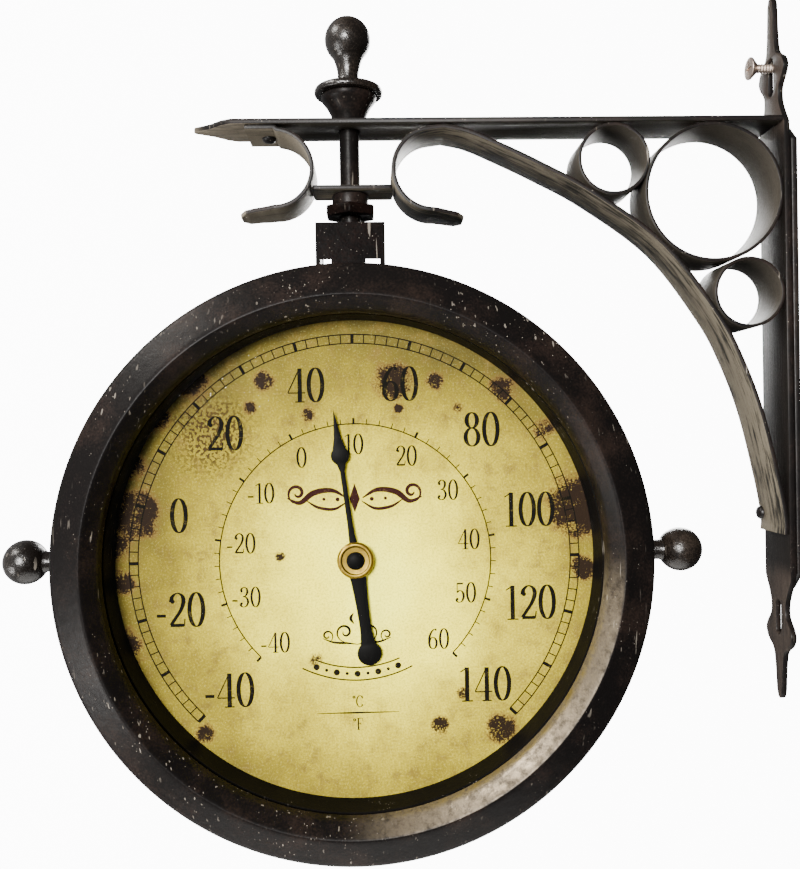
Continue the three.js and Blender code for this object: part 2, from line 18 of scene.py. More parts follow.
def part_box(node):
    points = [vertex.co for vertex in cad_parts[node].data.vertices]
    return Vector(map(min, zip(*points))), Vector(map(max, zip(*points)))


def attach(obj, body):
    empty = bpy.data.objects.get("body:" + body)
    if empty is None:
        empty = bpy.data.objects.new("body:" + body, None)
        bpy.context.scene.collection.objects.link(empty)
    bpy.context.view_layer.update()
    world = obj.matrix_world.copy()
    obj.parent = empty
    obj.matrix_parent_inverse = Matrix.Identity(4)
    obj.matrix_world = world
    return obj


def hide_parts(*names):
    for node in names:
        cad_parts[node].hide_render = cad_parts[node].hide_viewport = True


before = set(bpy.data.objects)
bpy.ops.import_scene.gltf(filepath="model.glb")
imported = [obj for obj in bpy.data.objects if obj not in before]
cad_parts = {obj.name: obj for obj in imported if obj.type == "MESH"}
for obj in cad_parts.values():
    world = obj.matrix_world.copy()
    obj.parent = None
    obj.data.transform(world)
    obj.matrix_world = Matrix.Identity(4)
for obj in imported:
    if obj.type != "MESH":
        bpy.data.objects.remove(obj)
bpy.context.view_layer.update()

MM = 0.001
GAP = 0.3                # clearance between neighbouring pieces, in millimetres
CRISP = 35.0             # edges of turned and bent pieces sharper than this stay crisp
PLATE_CRISP = 40.0       # the same for flat plates, in degrees too
LOG = logging.getLogger("thermometer")

Point = tuple[float, float]
Colour = tuple[float, float, float]


class Body(Enum):
    """The bodies that the finer pieces ride on."""

    BRACKET = "bracket"
    CASE = "case"
    POINTER = "pointer"
    HOUR = "hour_hand"
    MINUTE = "minute_hand"


class Side(Enum):
    """The two faces of the case."""

    FRONT = "front"
    REAR = "rear"


def node_centre(node: str) -> Vector:
    """Middle of a CAD node's box, in millimetres.

    Args:
        node: Name of the CAD node.

    Returns:
        The middle point.
    """
    low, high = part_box(node)
    return (low + high) / (2 * MM)


PIN_X = node_centre("hanger_pin").x
AT_PIN = Matrix.Translation((PIN_X, 0, 0))
PLACE = {Side.FRONT: AT_PIN, Side.REAR: AT_PIN @ Matrix.Rotation(math.pi, 4, "Z")}
ALONG_X = Matrix.Rotation(math.pi / 2, 4, "Y")
ALONG_MINUS_X = Matrix.Rotation(-math.pi / 2, 4, "Y")
ALONG_Y = Matrix.Rotation(-math.pi / 2, 4, "X")
ALONG_MINUS_Y = Matrix.Rotation(math.pi / 2, 4, "X")


def srgb(*values: int) -> Colour:
    """Turns screen colour values from 0 to 255 into a linear colour.

    Args:
        values: Red, green and blue.

    Returns:
        The linear colour.
    """
    parts = [value / 255 for value in values]
    return tuple(p / 12.92 if p <= 0.04045 else ((p + 0.055) / 1.055) ** 2.4 for p in parts)


# ---- outlines -----------------------------------------------------------------------------


def arc(centre: Point, radius: float, start: float, end: float, steps: int) -> list[Point]:
    """Points on an arc, with angles in degrees from the first axis to the second.

    Args:
        centre: Centre of the arc.
        radius: Its radius.
        start: First angle.
        end: Last angle.
        steps: Number of chords.

    Returns:
        The points, both ends included.
    """
    angles = [math.radians(start + (end - start) * i / steps) for i in range(steps + 1)]
    return [(centre[0] + radius * math.cos(a), centre[1] + radius * math.sin(a)) for a in angles]


def round_hole(radius: float, count: int = 48, centre: Point = (0, 0)) -> list[Point]:
    """Corners of a round hole, once round from the first axis."""
    return arc(centre, radius, 0, 360 - 360 / count, count - 1)


def on_dial(radius: float, angle: float) -> Point:
    """Point of a dial at a radius, with the angle in degrees clockwise from twelve o'clock."""
    return radius * math.sin(math.radians(angle)), radius * math.cos(math.radians(angle))


def softened(corners: Sequence[Point], reach: float, closed: bool = False,
             steps: int = 4) -> list[Point]:
    """Rounds the corners of a line.

    Args:
        corners: The line's corners.
        reach: How far from each corner its rounding begins.
        closed: Whether the line closes on itself.
        steps: Chords in each rounding.

    Returns:
        The rounded line.
    """
    count = len(corners)
    line: list[Point] = []
    for i, corner in enumerate(corners):
        if not closed and i in (0, count - 1):
            line.append(corner)
            continue
        here = Vector(corner)
        before = Vector(corners[i - 1]) - here
        after = Vector(corners[(i + 1) % count]) - here
        start = here + before * min(reach / max(before.length, 1e-6), 0.48)
        end = here + after * min(reach / max(after.length, 1e-6), 0.48)
        for step in range(steps + 1):
            t = step / steps
            spot = start * (1 - t) ** 2 + here * (2 * t * (1 - t)) + end * t ** 2
            line.append((spot.x, spot.y))
    return line


def flowing(knots: Sequence[Point], steps: int = 8) -> list[Point]:
    """A smooth line through given points.

    Args:
        knots: The points that the line passes through.
        steps: Chords between two neighbours.

    Returns:
        The smooth line.
    """
    spots = [Vector(k) for k in knots]
    spots = [spots[0] * 2 - spots[1], *spots, spots[-1] * 2 - spots[-2]]
    line: list[Point] = []
    for a, b, c, d in zip(spots, spots[1:], spots[2:], spots[3:]):
        for step in range(steps):
            t = step / steps
            spot = 0.5 * (2 * b + (c - a) * t + (2 * a - 5 * b + 4 * c - d) * t ** 2
                          + (3 * b - 3 * c + d - a) * t ** 3)
            line.append((spot.x, spot.y))
    return [*line, tuple(knots[-1])]


def both_sides(half: Sequence[Point]) -> list[Point]:
    """A closed outline from its right half, mirrored in the vertical axis."""
    return [*half, *[(-x, y) for x, y in reversed(half) if abs(x) > 1e-9]]


# ---- meshes -------------------------------------------------------------------------------


@dataclass
class Shape:
    """A mesh in the making, in millimetres.

    Attributes:
        place: Where the points given to the methods lie in the row frame.
        points: The points so far, in the row frame.
        faces: The faces so far, as indices of points.
        uvs: The texture map's corners for each face.
    """

    place: Matrix = field(default_factory=Matrix)
    points: list[Vector] = field(default_factory=list)
    faces: list[tuple[int, ...]] = field(default_factory=list)
    uvs: list[list[Point]] = field(default_factory=list)

    def grid(self, rows: Sequence[Sequence[Vector]], rows_close: bool, sections_close: bool,
             lengths: Sequence[float] | None = None, caps: bool = False) -> None:
        """Adds a skin over rows of points.

        Args:
            rows: Rows of equally many points.
            rows_close: Whether the last row joins the first.
            sections_close: Whether each row closes on itself.
            lengths: Distance of each row along the piece, for its texture map.
            caps: Whether the first and last rows are closed by a face each.
        """
        start, width = len(self.points), len(rows[0])
        for row in rows:
            self.points.extend(self.place @ p for p in row)
        spans = len(rows) if rows_close else len(rows) - 1
        cells = width if sections_close else width - 1
        along = list(lengths) if lengths else [float(i) for i in range(len(rows) + 1)]
        if len(along) == len(rows):
            along.append(along[-1] + (along[-1] - along[-2]))
        round_it = [0.0]
        for j in range(width):
            round_it.append(round_it[-1] + (rows[0][j] - rows[0][(j + 1) % width]).length)
        for i in range(spans):
            here, there = start + i * width, start + ((i + 1) % len(rows)) * width
            for j in range(cells):
                k = (j + 1) % width
                self.faces.append((here + j, here + k, there + k, there + j))
                self.uvs.append([
                    (along[i], round_it[j]), (along[i], round_it[j + 1]),
                    (along[i + 1], round_it[j + 1]), (along[i + 1], round_it[j])])
        if caps:
            first = tuple(range(start + width - 1, start - 1, -1))
            last = tuple(range(start + (len(rows) - 1) * width, start + len(rows) * width))
            for face in (first, last):
                self.faces.append(face)
                self.uvs.append([(self.points[i].x, self.points[i].z) for i in face])

    def turned(self, profile: Sequence[Point], facets: int = 48) -> None:
        """Adds a turned solid about the local Z axis.

        Args:
            profile: (radius, height) pairs that close on themselves or end on the axis.
            facets: Steps round the axis.
        """
        closed = math.dist(profile[0], profile[-1]) < 1e-6
        ring = list(profile[:-1]) if closed else list(profile)
        rows = []
        for i in range(facets):
            angle = 2 * math.pi * i / facets
            rows.append([Vector((r * math.cos(angle), r * math.sin(angle), h)) for r, h in ring])
        largest = max(r for r, _ in ring)
        lengths = [2 * math.pi * largest * i / facets for i in range(facets + 1)]
        self.grid(rows, True, closed, lengths)

    def band(self, line: Sequence[Point], half_thick: Sequence[float] | float,
             spans: Sequence[Point] | Point, edge: float = 0, closed: bool = False) -> None:
        """Adds a strip that follows a line in the XZ plane.

        Args:
            line: The strip's middle line as (x, z) pairs.
            half_thick: Half of its size across the line, in the XZ plane.
            spans: Where it begins and ends along Y, once or for each point of the line.
            edge: How far its long edges are rounded.
            closed: Whether the line closes on itself.
        """
        count = len(line)
        thick = [half_thick] * count if isinstance(half_thick, (int, float)) else half_thick
        wide = [spans] * count if isinstance(spans[0], (int, float)) else spans
        rows, lengths, travelled = [], [], 0.0
        for i, (x, z) in enumerate(line):
            before = line[i - 1] if closed or i else line[0]
            after = line[(i + 1) % count] if closed or i < count - 1 else line[-1]
            along = (Vector(after) - Vector(before)).normalized()
            across = Vector((-along.y, 0, along.x))
            if i:
                travelled += math.dist(line[i - 1], line[i])
            lengths.append(travelled)
            a, (low, high) = thick[i], wide[i]
            corners = [(-a, low), (a, low), (a, high), (-a, high)]
            if edge:
                corners = softened(corners, edge, True, 2)
            rows.append([Vector((x, 0, z)) + across * s + Vector((0, t, 0)) for s, t in corners])
        self.grid(rows, closed, True, lengths, caps=not closed)

    def piece(self, name: str, smooth_angle: float = CRISP) -> bpy.types.Object:
        """Turns the shape into an object of the scene.

        Args:
            name: The object's name.
            smooth_angle: Edges sharper than this many degrees stay crisp.

        Returns:
            The object, at the origin of the row frame.
        """
        mesh = bpy.data.meshes.new(name)
        mesh.from_pydata([p * MM for p in self.points], [], self.faces)
        layer = mesh.uv_layers.new(name="UVMap")
        flat = [u for face in self.uvs for u in face]
        for loop, (u, v) in zip(layer.data, flat):
            loop.uv = (u * MM, v * MM)
        obj = bpy.data.objects.new(name, mesh)
        bpy.context.scene.collection.objects.link(obj)
        return tidy_mesh(obj, smooth_angle)


def turned_piece(name: str, place: Matrix, profile: Sequence[Point], facets: int = 48,
                 smooth_angle: float = CRISP) -> bpy.types.Object:
    """A turned solid as an object of the scene.

    Args:
        name: The object's name.
        place: Where its axis and its foot lie in the row frame.
        profile: (radius, height) pairs that close on themselves or end on the axis.
        facets: Steps round the axis.
        smooth_angle: Edges sharper than this many degrees stay crisp.

    Returns:
        The object.
    """
    shape = Shape(place)
    shape.turned(profile, facets)
    return shape.piece(name, smooth_angle)


def tidy_mesh(obj: bpy.types.Object, smooth_angle: float) -> bpy.types.Object:
    """Merges doubled points, turns the faces outwards and sets the shading.

    Args:
        obj: A mesh object.
        smooth_angle: Edges sharper than this many degrees stay crisp.

    Returns:
        The same object.
    """
    mesh = obj.data
    work = bmesh.new()
    work.from_mesh(mesh)
    bmesh.ops.remove_doubles(work, verts=work.verts, dist=1e-7)
    bmesh.ops.dissolve_degenerate(work, edges=work.edges, dist=1e-8)
    bmesh.ops.recalc_face_normals(work, faces=work.faces)
    work.to_mesh(mesh)
    work.free()
    mesh.shade_smooth()
    mesh.set_sharp_from_angle(angle=math.radians(smooth_angle))
    return obj


def plate(name: str, outline: Sequence[Point], holes: Iterable[Sequence[Point]], low: float,
          high: float, edge: float, basis: Matrix) -> bpy.types.Object:
    """A flat plate cut to an outline, with softened edges.

    Args:
        name: The object's name.
        outline: The outer edge, as closed pairs.
        holes: The edges of its holes.
        low: Height of its lower face above the plane that it is drawn in.
        high: Height of its upper face.
        edge: Radius of the softened edges.
        basis: Where the drawing plane and its normal lie in the row frame, in millimetres.

    Returns:
        The plate as a mesh object.
    """
    curve = bpy.data.curves.new(name, "CURVE")
    curve.dimensions, curve.fill_mode = "2D", "BOTH"
    curve.extrude, curve.bevel_depth = (high - low) / 2 - edge, edge
    curve.bevel_resolution, curve.offset = 1, -edge
    for loop in (outline, *holes):
        spline = curve.splines.new("POLY")
        spline.points.add(len(loop) - 1)
        spline.use_cyclic_u = True
        for point, (x, y) in zip(spline.points, loop):
            point.co = (x, y, 0, 1)
    source = bpy.data.objects.new(name + "_outline", curve)
    bpy.context.scene.collection.objects.link(source)
    bpy.context.view_layer.update()
    graph = bpy.context.evaluated_depsgraph_get()
    mesh = bpy.data.meshes.new_from_object(source.evaluated_get(graph))
    bpy.data.objects.remove(source)
    bpy.data.curves.remove(curve)
    lift = Matrix.Translation((0, 0, (high + low) / 2))
    mesh.transform(Matrix.Scale(MM, 4) @ basis @ lift)
    mesh.materials.clear()
    mesh.name = name
    obj = bpy.data.objects.new(name, mesh)
    bpy.context.scene.collection.objects.link(obj)
    return tidy_mesh(obj, PLATE_CRISP)


# Drawing planes: the plate's own x, y and normal, as columns.
FACING_FRONT = Matrix(((1, 0, 0, 0), (0, 0, -1, 0), (0, 1, 0, 0), (0, 0, 0, 1)))
LYING_FLAT = Matrix.Identity(4)
FACING_OUT = Matrix(((0, 0, 1, 0), (1, 0, 0, 0), (0, 1, 0, 0), (0, 0, 0, 1)))


# ---- shader maths -------------------------------------------------------------------------


class Number:
    """A socket that holds one number, for use in Python expressions."""

    def __init__(self, graph: "Graph", socket: bpy.types.NodeSocket) -> None:
        """Wraps a socket of a graph."""
        self.graph, self.socket = graph, socket

    def _math(self, operation: str, first: "Number | float", second: "Number | float"
              ) -> "Number":
        """Adds a Math node and returns its result."""
        return self.graph.math(operation, first, second)

    def __add__(self, other: "Number | float") -> "Number":
        """Sum."""
        return self._math("ADD", self, other)

    __radd__ = __add__

    def __sub__(self, other: "Number | float") -> "Number":
        """Difference."""
        return self._math("SUBTRACT", self, other)

    def __rsub__(self, other: float) -> "Number":
        """Difference from a plain number."""
        return self._math("SUBTRACT", other, self)

    def __mul__(self, other: "Number | float") -> "Number":
        """Product."""
        return self._math("MULTIPLY", self, other)

    __rmul__ = __mul__

    def __truediv__(self, other: "Number | float") -> "Number":
        """Quotient."""
        return self._math("DIVIDE", self, other)

    def __pow__(self, other: float) -> "Number":
        """Power."""
        return self._math("POWER", self, other)

    def at_most(self, other: "Number | float") -> "Number":
        """The smaller of two values."""
        return self._math("MINIMUM", self, other)

    def at_least(self, other: "Number | float") -> "Number":
        """The larger of two values."""
        return self._math("MAXIMUM", self, other)

    def fade(self, start: float, end: float) -> "Number":
        """A smooth step from 0 at start to 1 at end.

        Args:
            start: Value below which the step is 0.
            end: Value above which it is 1.

        Returns:
            The step.
        """
        node = self.graph.node("ShaderNodeMapRange", {"interpolation_type": "SMOOTHSTEP"}, {
            "Value": self, "From Min": start, "From Max": end})
        return Number(self.graph, node.outputs["Result"])


Value = Number | float | bpy.types.NodeSocket | Sequence[float]


class Graph:
    """The node tree of one material, or of the studio's air."""

    def __init__(self, name: str, world: bool = False) -> None:
        """Makes an empty material or world with that name.

        Args:
            name: Its name.
            world: Whether it is the world and not a material.
        """
        self.owner = (bpy.data.worlds if world else bpy.data.materials).new(name)
        self.owner.use_nodes = True
        self.tree = self.owner.node_tree
        self.tree.nodes.clear()
        self.output = self.node("ShaderNodeOutputWorld" if world else "ShaderNodeOutputMaterial")

    def node(self, kind: str, settings: dict[str, object] | None = None,
             inputs: dict[str | int, Value] | None = None) -> bpy.types.Node:
        """Adds a node.

        Args:
            kind: Its Blender type.
            settings: Its own settings, set before its sockets; "stops" are a ramp's.
            inputs: Values or links of its input sockets.

        Returns:
            The node.
        """
        node = self.tree.nodes.new(kind)
        for key, setting in (settings or {}).items():
            if key == "stops":
                self._stops(node.color_ramp, setting)
            else:
                setattr(node, key, setting)
        for key, value in (inputs or {}).items():
            socket = node.inputs[key]
            if isinstance(value, Number):
                self.tree.links.new(value.socket, socket)
            elif isinstance(value, bpy.types.NodeSocket):
                self.tree.links.new(value, socket)
            elif isinstance(value, (int, float)):
                socket.default_value = value
            elif socket.type == "RGBA":
                socket.default_value = (*value[:3], 1)
            else:
                socket.default_value = tuple(value)
        return node

    @staticmethod
    def _stops(ramp: bpy.types.ColorRamp, stops: Sequence[tuple[float, Colour]]) -> None:
        """Sets the stops of a colour ramp.

        Args:
            ramp: The ramp.
            stops: Positions from 0 to 1 with their colours.
        """
        while len(ramp.elements) < len(stops):
            ramp.elements.new(0.5)
        for element, (position, colour) in zip(ramp.elements, stops):
            element.position, element.color = position, (*colour, 1)

    def math(self, operation: str, first: Value, second: Value = 0.0) -> Number:
        """A Math node's result.

        Args:
            operation: What the node does.
            first: Its first value.
            second: Its second value.

        Returns:
            The result.
        """
        node = self.node("ShaderNodeMath", {"operation": operation}, {0: first, 1: second})
        return Number(self, node.outputs[0])

    def place(self) -> bpy.types.NodeSocket:
        """The point on the surface in the row frame, in metres."""
        return self.node("ShaderNodeTexCoord").outputs["Object"]

    def split(self, vector: Value) -> tuple[Number, Number, Number]:
        """The three parts of a vector."""
        node = self.node("ShaderNodeSeparateXYZ", None, {"Vector": vector})
        return tuple(Number(self, node.outputs[i]) for i in range(3))

    def stretched(self, vector: Value, scale: Sequence[float],
                  shift: Sequence[float] = (0, 0, 0)) -> bpy.types.NodeSocket:
        """A vector scaled along each axis, then moved by shift.

        Args:
            vector: The vector.
            scale: Factor along each axis.
            shift: Added to the scaled vector.

        Returns:
            The new vector.
        """
        node = self.node("ShaderNodeVectorMath", {"operation": "MULTIPLY_ADD"}, {
            0: vector, 1: scale, 2: shift})
        return node.outputs[0]

    def noise(self, vector: Value, scale: float, detail: float = 3, rough: float = 0.55
              ) -> Number:
        """Cloudy noise from 0 to 1, with scale in features for each unit of the vector.

        Args:
            vector: Where to look the noise up.
            scale: Features for each unit.
            detail: How many finer layers are added.
            rough: How strong the finer layers are.

        Returns:
            The noise.
        """
        node = self.node("ShaderNodeTexNoise", None, {
            "Vector": vector, "Scale": scale, "Detail": detail, "Roughness": rough})
        return Number(self, node.outputs["Fac"])

    def spots(self, vector: Value, scale: float) -> Number:
        """Distance to the nearest of many scattered points, in cells."""
        node = self.node("ShaderNodeTexVoronoi", None, {"Vector": vector, "Scale": scale})
        return Number(self, node.outputs["Distance"])

    def ramp(self, value: Number, stops: Sequence[tuple[float, Colour]]
             ) -> bpy.types.NodeSocket:
        """Colour looked up in a ramp."""
        return self.node("ShaderNodeValToRGB", {"stops": stops}, {0: value}).outputs[0]

    def mix(self, factor: Value, first: Value, second: Value, blend: str = "MIX"
            ) -> bpy.types.NodeSocket:
        """Two colours mixed.

        Args:
            factor: Share of the second colour.
            first: First colour.
            second: Second colour.
            blend: How they are mixed.

        Returns:
            The mixed colour.
        """
        node = self.node("ShaderNodeMix", {"data_type": "RGBA", "blend_type": blend}, {
            0: factor, 6: first, 7: second})
        return node.outputs[2]

    def bump(self, height: Number, strength: float, distance: float) -> bpy.types.NodeSocket:
        """A bumped normal, with distance in metres."""
        return self.node("ShaderNodeBump", None, {
            "Height": height, "Strength": strength, "Distance": distance}).outputs[0]

    def facing(self) -> tuple[Number, Number, Number]:
        """The surface's own direction in the row frame."""
        return self.split(self.node("ShaderNodeTexCoord").outputs["Normal"])

    def surface(self, **inputs: Value) -> bpy.types.Material:
        """Ends the graph in a Principled BSDF.

        Args:
            inputs: Socket values, with underscores for the spaces in their names.

        Returns:
            The material.
        """
        named = {key.replace("_", " "): value for key, value in inputs.items()}
        shader = self.node("ShaderNodeBsdfPrincipled", None, named)
        self.tree.links.new(shader.outputs[0], self.output.inputs[0])
        return self.owner


# ---- finishes -----------------------------------------------------------------------------

# How many features of each pattern in the old paint lie along a metre.
CLOUDS, ZONES, SWELL = 46, 38, 210
GRAIN, SPECKS, CRUMBS, SCRATCHES = 1100, 560, 330, 620


@dataclass(frozen=True)
class AgedPaint:
    """Old brown-black paint with dust, chips and fine scratches.

    Attributes:
        dark: Main colour.
        brown: Colour of the rubbed patches.
        chip: Colour of the small bare spots.
        chips: How many of the spots show, from 0 to about 1.
        gloss: Roughness of the sound paint.
        lumps: Depth of the cast surface's unevenness, in metres.
        shine: How strongly it mirrors, where 0.5 is plain paint.
    """

    dark: Colour = (0.0032, 0.0027, 0.0026)
    brown: Colour = (0.0135, 0.0088, 0.0070)
    chip: Colour = (0.30, 0.265, 0.22)
    chips: float = 0.5
    gloss: float = 0.36
    lumps: float = 0.00025
    shine: float = 0.2

    def build(self, name: str) -> bpy.types.Material:
        """Makes the material.

        Args:
            name: The material's name.

        Returns:
            The material.
        """
        g = Graph(name)
        here = g.place()
        return self.coat(g, here, *self.layers(g, here))

    def coat(self, g: Graph, here: bpy.types.NodeSocket, colour: bpy.types.NodeSocket,
             grain: Number, chipped: Number, bare: Value = 0.0) -> bpy.types.Material:
        """Ends the graph with the paint's gloss and relief.

        Args:
            g: The graph to end.
            here: The point on the surface.
            colour: Colour over the surface.
            grain: Fine grain over the surface.
            chipped: Where the paint is chipped.
            bare: Where the paint turns metallic; the bezel passes its painted highlight here.

        Returns:
            The material.
        """
        relief = g.noise(here, SWELL, 3, 0.5) + grain * 0.35 - chipped * 0.4
        return g.surface(
            Base_Color=colour, Metallic=bare, Specular_IOR_Level=self.shine,
            Roughness=(grain * 0.3 + (self.gloss - 0.14)).at_most(0.9),
            Normal=g.bump(relief, 0.6, self.lumps))

    def layers(self, g: Graph, here: bpy.types.NodeSocket
               ) -> tuple[bpy.types.NodeSocket, Number, Number]:
        """Paint colour, grain and chips over the surface.

        Args:
            g: The graph to build in.
            here: The point on the surface.

        Returns:
            The colour, then the two masks.
        """
        cloud = g.noise(here, CLOUDS, 5, 0.6)
        grain = g.noise(here, GRAIN, 3, 0.6)
        patch = (cloud * 0.7 + grain * 0.45).fade(0.5, 0.82)
        colour = g.mix(patch, self.dark, self.brown)
        zone = g.noise(here, ZONES, 3).fade(0.6 - 0.3 * self.chips, 0.68)
        speck = 1 - g.spots(here, SPECKS).fade(0.05, 0.16)
        crumbs = g.noise(here, CRUMBS, 2).fade(0.46, 0.6)
        scratch = g.noise(g.stretched(here, (1, 1, 0.07), (3, 1, 0)), SCRATCHES, 1).fade(0.7, 0.73)
        chipped = (speck * crumbs * zone + scratch * zone * 0.5).at_most(1)
        return g.mix(chipped * 0.85, colour, self.chip), grain, chipped


@dataclass(frozen=True)
class BezelPaint(AgedPaint):
    """Case paint that is polished through on one part of the bezel's inner cone.

    Attributes:
        metal: Colour of the painted highlight.
        crest: Radii between which the cone gives way to the outer band, in metres.
        lean: Where the painted highlight sets in and is full, as how far right and down a point
        lies together, over its radius.
    """

    metal: Colour = (0.19, 0.155, 0.11)
    crest: tuple[float, float] = (0.1116, 0.1130)
    lean: tuple[float, float] = (0.92, 1.4)

    def build(self, name: str) -> bpy.types.Material:
        """Makes the material.

        Args:
            name: The material's name.

        Returns:
            The material.
        """
        g = Graph(name)
        here = g.place()
        paint, grain, chipped = self.layers(g, here)
        x, _, z = g.split(here)
        x = x - PIN_X * MM
        radius = (x * x + z * z) ** 0.5
        # Painted highlight: lighter, metallic colour on the lower right of the inner cone, broken
        # up by noise.
        patches = g.noise(here, 260, 5, 0.7).fade(0.3, 0.62) * 0.7 + grain * 0.5
        painted_light_mask = (1 - radius.fade(*self.crest)) * ((x - z) / radius).fade(*self.lean) * patches
        return self.coat(g, here, g.mix(painted_light_mask, paint, self.metal), grain, chipped, painted_light_mask)


@dataclass(frozen=True)
class WornStrip(AgedPaint):
    """Black paint on the flat bars, rubbed through to streaky pewter on their broad faces, where
    the light colour is also a painted reflection of the bright surroundings; faces towards +Y
    and -Y stay black.

    Attributes:
        streak: Light colour of the rubbed metal and of the painted reflection.
        olive: Dark colour between the streaks.
        grain: Stretch of the streaks: how much finer they are along X, Y and Z, or along and
            across the strip when they follow it.
        follows: Whether the streaks follow the strip's own length.
        smooth: Share of plain, unstreaked metal.
        axis: Axis that the lit ends lie along: 0 for X, 2 for Z.
        middle: Place between the two ends on that axis, in metres.
        ends: Distances from the middle at which the painted light sets in and is full; nearer
            the middle the streaks fade to painted shade.
    """

    streak: Colour = (0.165, 0.142, 0.104)
    olive: Colour = (0.0075, 0.0068, 0.0052)
    grain: tuple[float, float, float] = (1.0, 24.0, 1.0)
    follows: bool = True
    smooth: float = 0.0
    axis: int = 0
    middle: float = 0.0
    ends: tuple[float, float] = (-2.0, -1.0)

    def build(self, name: str) -> bpy.types.Material:
        """Makes the material.

        Args:
            name: The material's name.

        Returns:
            The material.
        """
        g = Graph(name)
        here = g.place()
        base, fleck, chipped = self.layers(g, here)
        along = g.node("ShaderNodeUVMap", {"uv_map": "UVMap"}).outputs[0] if self.follows else here
        fine = g.noise(g.stretched(along, self.grain), 52, 5, 0.7)
        broad = g.noise(g.stretched(along, [1 + (v - 1) * 0.2 for v in self.grain], (5, 2, 0)),
                        17, 3, 0.6)
        # Painted reflection: faces turned across the Y axis take the light rubbed colour, as if
        # they mirrored the bright surroundings, and faces towards +Y and -Y keep the black paint;
        # the streaks themselves are rubbed metal.
        _, side, _ = g.facing()
        rub_and_sheen_faces = 1 - (side * side).fade(0.2, 0.6)
        # Painted light and shade along one axis: full streaks beyond the ends, where the bar is
        # lit, and only 7% of them nearer the middle, left dark as painted shade.
        offset = g.split(here)[self.axis] - self.middle
        painted_light_mask = offset.at_least(0 - offset).fade(*self.ends) * 0.93 + 0.07
        rubbed = ((fine * 0.62 + broad * 0.55).fade(0.5, 0.63) + self.smooth).at_most(1) * painted_light_mask
        dust = g.spots(here, 430).fade(0.08, 0.2) * 0.35 + 0.65
        metal = g.mix(rubbed * dust, self.olive, self.streak)
        metal = g.mix(fleck * 0.3, metal, self.olive)
        return g.surface(
            Base_Color=g.mix(rub_and_sheen_faces * 0.97, base, metal), Specular_IOR_Level=0.12,
            Roughness=(fleck * 0.25 + rub_and_sheen_faces * rubbed * 0.12 + 0.3).at_most(0.8),
            Metallic=rub_and_sheen_faces * rubbed * 0.2,
            Normal=g.bump(fine * rub_and_sheen_faces + fleck * 0.4 - chipped * 0.3, 0.5, 0.0003))


@dataclass(frozen=True)
class PlainMetal:
    """Bare turned or rolled metal.

    Attributes:
        colour: Its colour.
        roughness: Its mean roughness.
        tarnish: Colour of the tarnished patches.
    """

    colour: Colour
    roughness: float
    tarnish: Colour

    def build(self, name: str) -> bpy.types.Material:
        """Makes the material.

        Args:
            name: The material's name.

        Returns:
            The material.
        """
        g = Graph(name)
        here = g.place()
        cloud = g.noise(here, 160, 4)
        lines = g.noise(g.stretched(here, (1, 0.1, 1)), 1500, 2)
        patch = cloud.fade(0.48, 0.72)
        return g.surface(
            Base_Color=g.mix(patch * 0.7, self.colour, self.tarnish), Metallic=1.0,
            Roughness=self.roughness + patch * 0.25 + lines * 0.08,
            Normal=g.bump(lines, 0.25, 0.0001))


@dataclass(frozen=True)
class Moulded:
    """Plain moulded or painted small part, nearly one colour.

    Attributes:
        colour: Its colour.
        roughness: Its roughness.
    """

    colour: Colour
    roughness: float

    def build(self, name: str) -> bpy.types.Material:
        """Makes the material.

        Args:
            name: The material's name.

        Returns:
            The material.
        """
        g = Graph(name)
        grain = g.noise(g.place(), 1400, 3)
        colour = g.mix(grain * 0.35, self.colour, tuple(min(1, c * 1.9) for c in self.colour))
        return g.surface(Base_Color=colour, Roughness=self.roughness + grain * 0.12,
                         Specular_IOR_Level=0.03, Normal=g.bump(grain, 0.2, 0.0001))


@dataclass(frozen=True)
class ClearGlass:
    """Flat glass that shows mostly what is behind it.

    Attributes:
        veil: How much of the glass itself is seen where it is clean.
        dusty: How much more is seen where it is dusty.
        tint: Its own colour.
    """

    veil: float = 0.004
    dusty: float = 0.006
    tint: Colour = (0.05, 0.055, 0.05)

    def build(self, name: str) -> bpy.types.Material:
        """Makes the material.

        Args:
            name: The material's name.

        Returns:
            The material.
        """
        g = Graph(name)
        dust = g.noise(g.place(), 30, 4).fade(0.55, 0.9)
        material = g.surface(Base_Color=self.tint, Roughness=dust * 0.1 + 0.02,
                             Alpha=dust * self.dusty + self.veil, Specular_IOR_Level=0.08)
        material.surface_render_method = "BLENDED"
        return material


@dataclass(frozen=True)
class Ink:
    """Printer's ink that has faded and rubbed away in places.

    Attributes:
        colour: Its colour.
        faded: Its colour where it has faded.
    """

    colour: Colour
    faded: Colour

    def build(self, name: str) -> bpy.types.Material:
        """Makes the material.

        Args:
            name: The material's name.

        Returns:
            The material.
        """
        g = Graph(name)
        here = g.place()
        wear = (g.noise(here, 260, 3) * 0.6 + g.noise(here, 1800, 2) * 0.5).fade(0.6, 0.78)
        return g.surface(Base_Color=g.mix(wear * 0.6, self.colour, self.faded),
                         Roughness=0.7 + wear * 0.15, Specular_IOR_Level=0.02)


@dataclass(frozen=True)
class Stain:
    """One rust stain on a dial.

    Attributes:
        x: Distance right of the dial's centre.
        z: Distance above it.
        size: Radius of its dark middle.
        depth: How dark it is, where 1 is dark in its middle.
    """

    x: float
    z: float
    size: float
    depth: float


